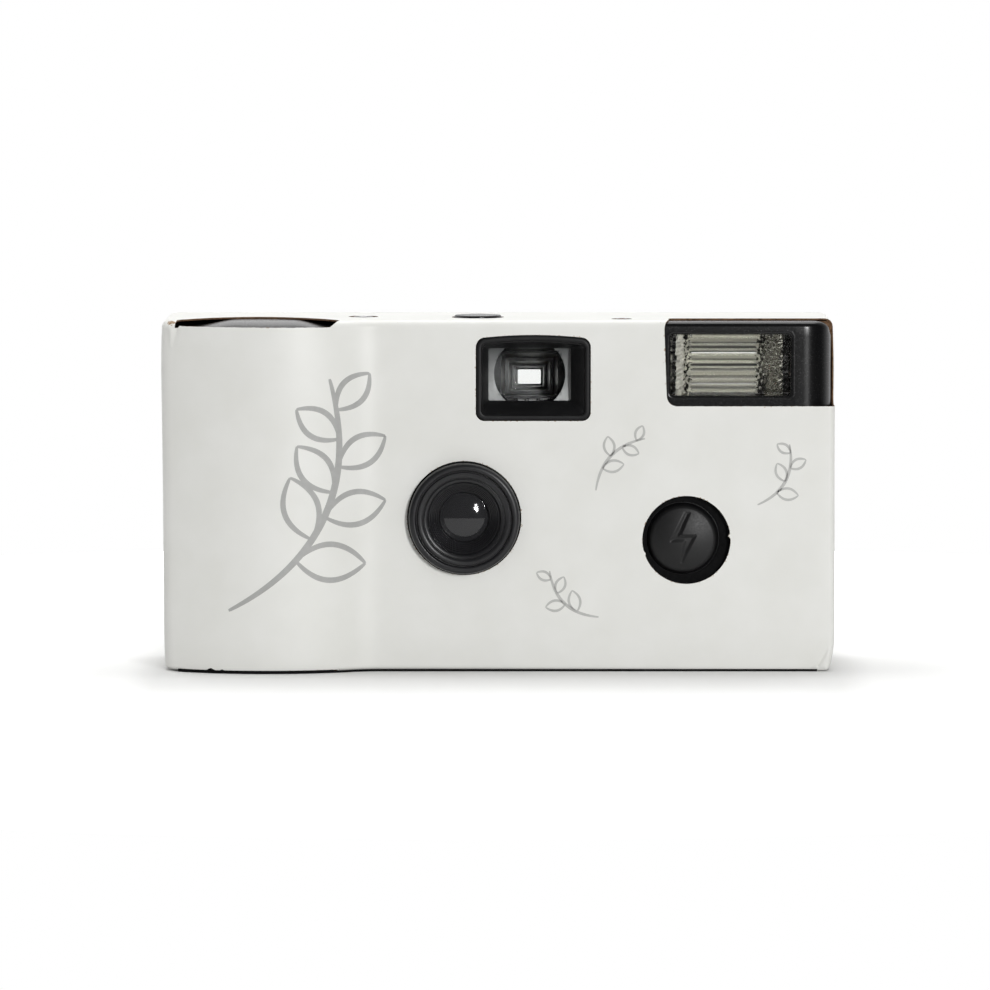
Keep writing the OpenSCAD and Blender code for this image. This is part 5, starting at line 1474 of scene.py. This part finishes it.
def ink(name, light, dark):
    """Offset ink on coated card: a flat grey film, duller than the card and uneven like its fibres."""
    return mottled(name, light, dark, patch=1.2, grain=0.1, depth=0.002, rough=(0.4, 0.5),
                   Specular_IOR_Level=0.4)[0]


def ribbon(line, width):
    """A closed strip along a line on the front: half a width to each side, thinner towards the ends."""
    line = dense(line, 0.35)
    ahead = np.gradient(line, axis=0)
    ahead /= np.linalg.norm(ahead, axis=1, keepdims=True)
    side = np.column_stack([-ahead[:, 1], ahead[:, 0]])
    u = np.linspace(0, 1, len(line))[:, None]
    half = width / 2 * (0.35 + 0.65 * np.sin(np.pi * u) ** 0.5)
    left, right = line - side * half, line + side * half
    flat = np.stack([left, left, right, right], 1).reshape(-1, 2)
    lift = np.tile([INK_SUNK, INK_LIFT, INK_LIFT, INK_SUNK], len(line))
    points = on_card(front_s(card_path, flat[:, 0]), wall_t(flat[:, 1]), lift)
    n = len(points)
    return points, lattice(len(line), 4).tolist() + [[3, 2, 1, 0], [n - 4, n - 3, n - 2, n - 1]]


def bow(a, b, bend, count=24):
    """A curved stroke from a to b: a parabola pushed sideways by a share of its length."""
    a, b = np.asarray(a, float), np.asarray(b, float)
    u = np.linspace(0, 1, count)[:, None]
    across = np.array([-(b - a)[1], (b - a)[0]])
    return a + (b - a) * u + across * bend * 4 * u * (1 - u)


def sprig(foot, tip, bend, leaves, leaf_size, width):
    """A bent stem with pairs of pointed leaves: each leaf is two bows from its foot to its tip."""
    stem = bow(foot, tip, bend, 60)
    strokes = [ribbon(stem, width)]
    for k in range(leaves):
        at = int((0.3 + 0.62 * k / max(1, leaves - 1)) * 58)
        ahead = stem[at + 1] - stem[at]
        turn_by = math.radians(LEAF_ANGLE if k % 2 else -LEAF_ANGLE)
        turned_way = np.array([ahead[0] * math.cos(turn_by) - ahead[1] * math.sin(turn_by),
                               ahead[0] * math.sin(turn_by) + ahead[1] * math.cos(turn_by)])
        size = leaf_size * (1.0 - 0.35 * k / leaves)
        end = stem[at] + turned_way / np.linalg.norm(turned_way) * size
        strokes += [ribbon(bow(a, b, LEAF_BOW), width * 0.8) for a, b in ((stem[at], end), (end, stem[at]))]
    return join(*strokes)


large_ink, small_ink = ink("grey_ink", "#B3B3B1", "#ABABA9"), ink("pale_grey_ink", "#C4C4C1", "#BDBDBA")
large = sprig((-46.5, 11.0), (-29.0, 51.0), bend=-0.2, leaves=7, leaf_size=12.0, width=1.2)
piece("print_large_sprig", *large, [large_ink], "camera", "coated_card")
small = [sprig(foot, tip, bend, SMALL_LEAVES, SMALL_LEAF, SMALL_LINE)
         for foot, tip, bend in (((17.0, 31.5), (25.5, 40.5), 0.18), ((17.5, 9.5), (9.0, 17.5), 0.2),
                                 ((45.0, 29.0), (50.5, 39.5), -0.2))]
piece("print_small_sprigs", *join(*small), [small_ink], "camera", "coated_card")

# %% [markdown]
# ## Numbers on the frame counter
# Through the small hole in the roof one number of a white wheel can be read: how many pictures are
# left. The digits are text turned into a mesh, laid round the wheel and printed in black: every third
# number from 27 down to 0.

# %% Number the counter wheel
COUNTER_MID, COUNTER_TOP_Z = (-29.45, -0.025), 58.35
DIGIT_R, DIGIT_SIZE, DIGIT_LIFT = 6.0, 1.9, 0.012
FIRST_NUMBER, NUMBER_STEP, NUMBER_COUNT = 27, 3, 10


def digits(number, place, size):
    """Digits as a flat mesh: the text's own outline, turned to be read from behind the camera."""
    words = bpy.data.curves.new("digits", "FONT")
    words.body = str(number)
    words.size = size
    words.align_x, words.align_y = "CENTER", "CENTER"
    words.extrude = 0.01
    words.resolution_u = 3
    holder = bpy.data.objects.new("digits", words)
    scene.collection.objects.link(holder)
    bpy.context.view_layer.update()
    mesh = bpy.data.meshes.new_from_object(holder.evaluated_get(bpy.context.evaluated_depsgraph_get()))
    flat = np.empty(len(mesh.vertices) * 3)
    mesh.vertices.foreach_get("co", flat)
    faces = [list(face.vertices) for face in mesh.polygons]
    bpy.data.objects.remove(holder)
    bpy.data.curves.remove(words)
    bpy.data.meshes.remove(mesh)
    x, y, z = flat.reshape(-1, 3).T
    c, s = math.cos(place), math.sin(place)
    spoke = DIGIT_R - x
    return np.column_stack([COUNTER_MID[0] + c * spoke + s * y, COUNTER_MID[1] + s * spoke - c * y,
                            COUNTER_TOP_Z + DIGIT_LIFT + z]), faces


numbers = [digits(FIRST_NUMBER - NUMBER_STEP * k, 2 * math.pi * k / NUMBER_COUNT, DIGIT_SIZE)
           for k in range(NUMBER_COUNT)]
black_ink = ink("black_ink", "#242424", "#1A1A1A")
piece("counter_numbers", *join(*numbers), [black_ink], "counter", "acetal_white")

# %% [markdown]
# ## The parts inside
# The rest keep the shapes of the solids and get the finish of what they are made of: lacquered
# tinplate round the film, brown film, a resin board with its parts, a wrapped battery. A helper lays a
# second colour over part of a finish, as a printed band or a wrapper does.

# %% Finishes of the inner parts
def banded(made, axis, low, high, colour):
    """A band of another colour between two places along an axis of the object; mm."""
    material, tree, shader, place = made
    run = add(tree, "SeparateXYZ", {0: place}).outputs[axis]
    in_band = add(tree, "Math", {0: run, 1: (low + high) / 2 * MM, 2: (high - low) / 2 * MM},
                  operation="COMPARE")
    lay_over(tree, shader, in_band.outputs[0], colour)
    return material


def lacquered_tin():
    """Tinplate of the film cartridge under cream lacquer, with one printed band."""
    made = mottled("lacquered_tin", "#D9D2BF", "#CFC7B1", patch=5.0, grain=0.3, depth=0.003,
                   rough=(0.2, 0.32), Coat_Weight=0.4)
    return banded(made, "Z", 20.0, 31.0, "#3D6C86")


def film_acetate():
    """Colour negative film: brown, with the soft gloss of gelatine."""
    return mottled("film_acetate", "#6B5243", "#5C4538", patch=8.0, grain=0.4, depth=0.002,
                   rough=(0.18, 0.3))[0]


def resin_board():
    """Brown phenolic board: paper layers show as faint clouds."""
    made = mottled("resin_board", "#A87A45", "#8F6536", patch=3.0, grain=0.2, depth=0.006, rough=(0.35, 0.5))
    return banded(made, "Z", 26.0, 26.8, "#B98B55")


def sleeve_vinyl():
    """Shrunk vinyl round the capacitor: dark, glossy, with one pale stripe for the minus side."""
    made = mottled("sleeve_vinyl", "#27303F", "#1F2733", patch=4.0, grain=0.3, depth=0.004,
                   rough=(0.15, 0.28))
    return banded(made, "Y", -7.0, -5.6, "#B9BEC4")


def tape_polyester():
    """Yellow polyester tape round the transformer: thin, glossy, with wound layers."""
    return mottled("tape_polyester", "#DDB944", "#C79F2E", patch=1.5, grain=0.4, depth=0.004,
                   rough=(0.15, 0.3))[0]


def copper_winding():
    """Enamelled copper wire laid turn by turn: fine ridges across the coil, with a reddish varnish."""
    material, tree, shader, place = mottled("copper_winding", "#B4683A", "#8E4C28", patch=0.8, grain=0.3,
                                            depth=0.004, rough=(0.2, 0.35), Metallic=0.8)
    turns = add(tree, "TexWave", {"Vector": place, "Scale": 1 / (0.25 * MM) / 20, "Distortion": 0.4},
                bands_direction="Z")
    ridge = add(tree, "Bump", {"Height": turns.outputs["Fac"], "Strength": 0.8, "Distance": 0.05 * MM})
    tree.links.new(ridge.outputs[0], shader.inputs["Normal"])
    return material


def chip_resin():
    """Dipped resin of the small parts on the board: tan, a little glossy, uneven."""
    return mottled("chip_resin", "#C4A675", "#A98653", patch=0.9, grain=0.2, depth=0.01,
                   rough=(0.25, 0.45))[0]


def battery_wrapper():
    """Printed film on the battery: green with a silver end, glossy over a slight orange peel."""
    made = mottled("battery_wrapper", "#3E6B4C", "#335C40", patch=7.0, grain=0.5, depth=0.006,
                   rough=(0.14, 0.26))
    return banded(made, "X", 9.0, 21.0, "#C2C4C4")


lamp_glass = clear_moulding("neon_lamp_glass", "#F3E6DA", (0.0, 0.04), 2.0)
finish_of = {"coated_card": card_finishes[0], "casing_black": casing, "trim_black": trim,
             "frame_black": inner_frame, "clear_acrylic": window_acrylic, "lens_acrylic": lens_acrylic,
             "acetal_white": white_acetal, "lever_grey": grey_acetal, "blade_steel": blade_steel,
             "spring_steel": spring_steel, "cartridge_tin": lacquered_tin(), "cap_steel": cap_steel,
             "spool_black": spool_black, "film_base": film_acetate(), "reflector_alu": aluminium,
             "tube_glass": tube_glass, "board_resin": resin_board(), "cap_sleeve": sleeve_vinyl(),
             "coil_tape": tape_polyester(), "coil_copper": copper_winding(), "chip_body": chip_resin(),
             "lamp_glass": lamp_glass, "lamp_lens": lamp_red, "contact_brass": brass, "tinned_wire": tinned,
             "battery_wrap": battery_wrapper()}
dressed = 0
for holder in scene.objects:
    for one in holder.material_slots:
        packed = one.material.name.split(".")[0]
        if packed in finish_of:
            one.material = finish_of[packed]
            dressed += 1
print(dressed, "nodes dressed in", len(finish_of), "finishes")
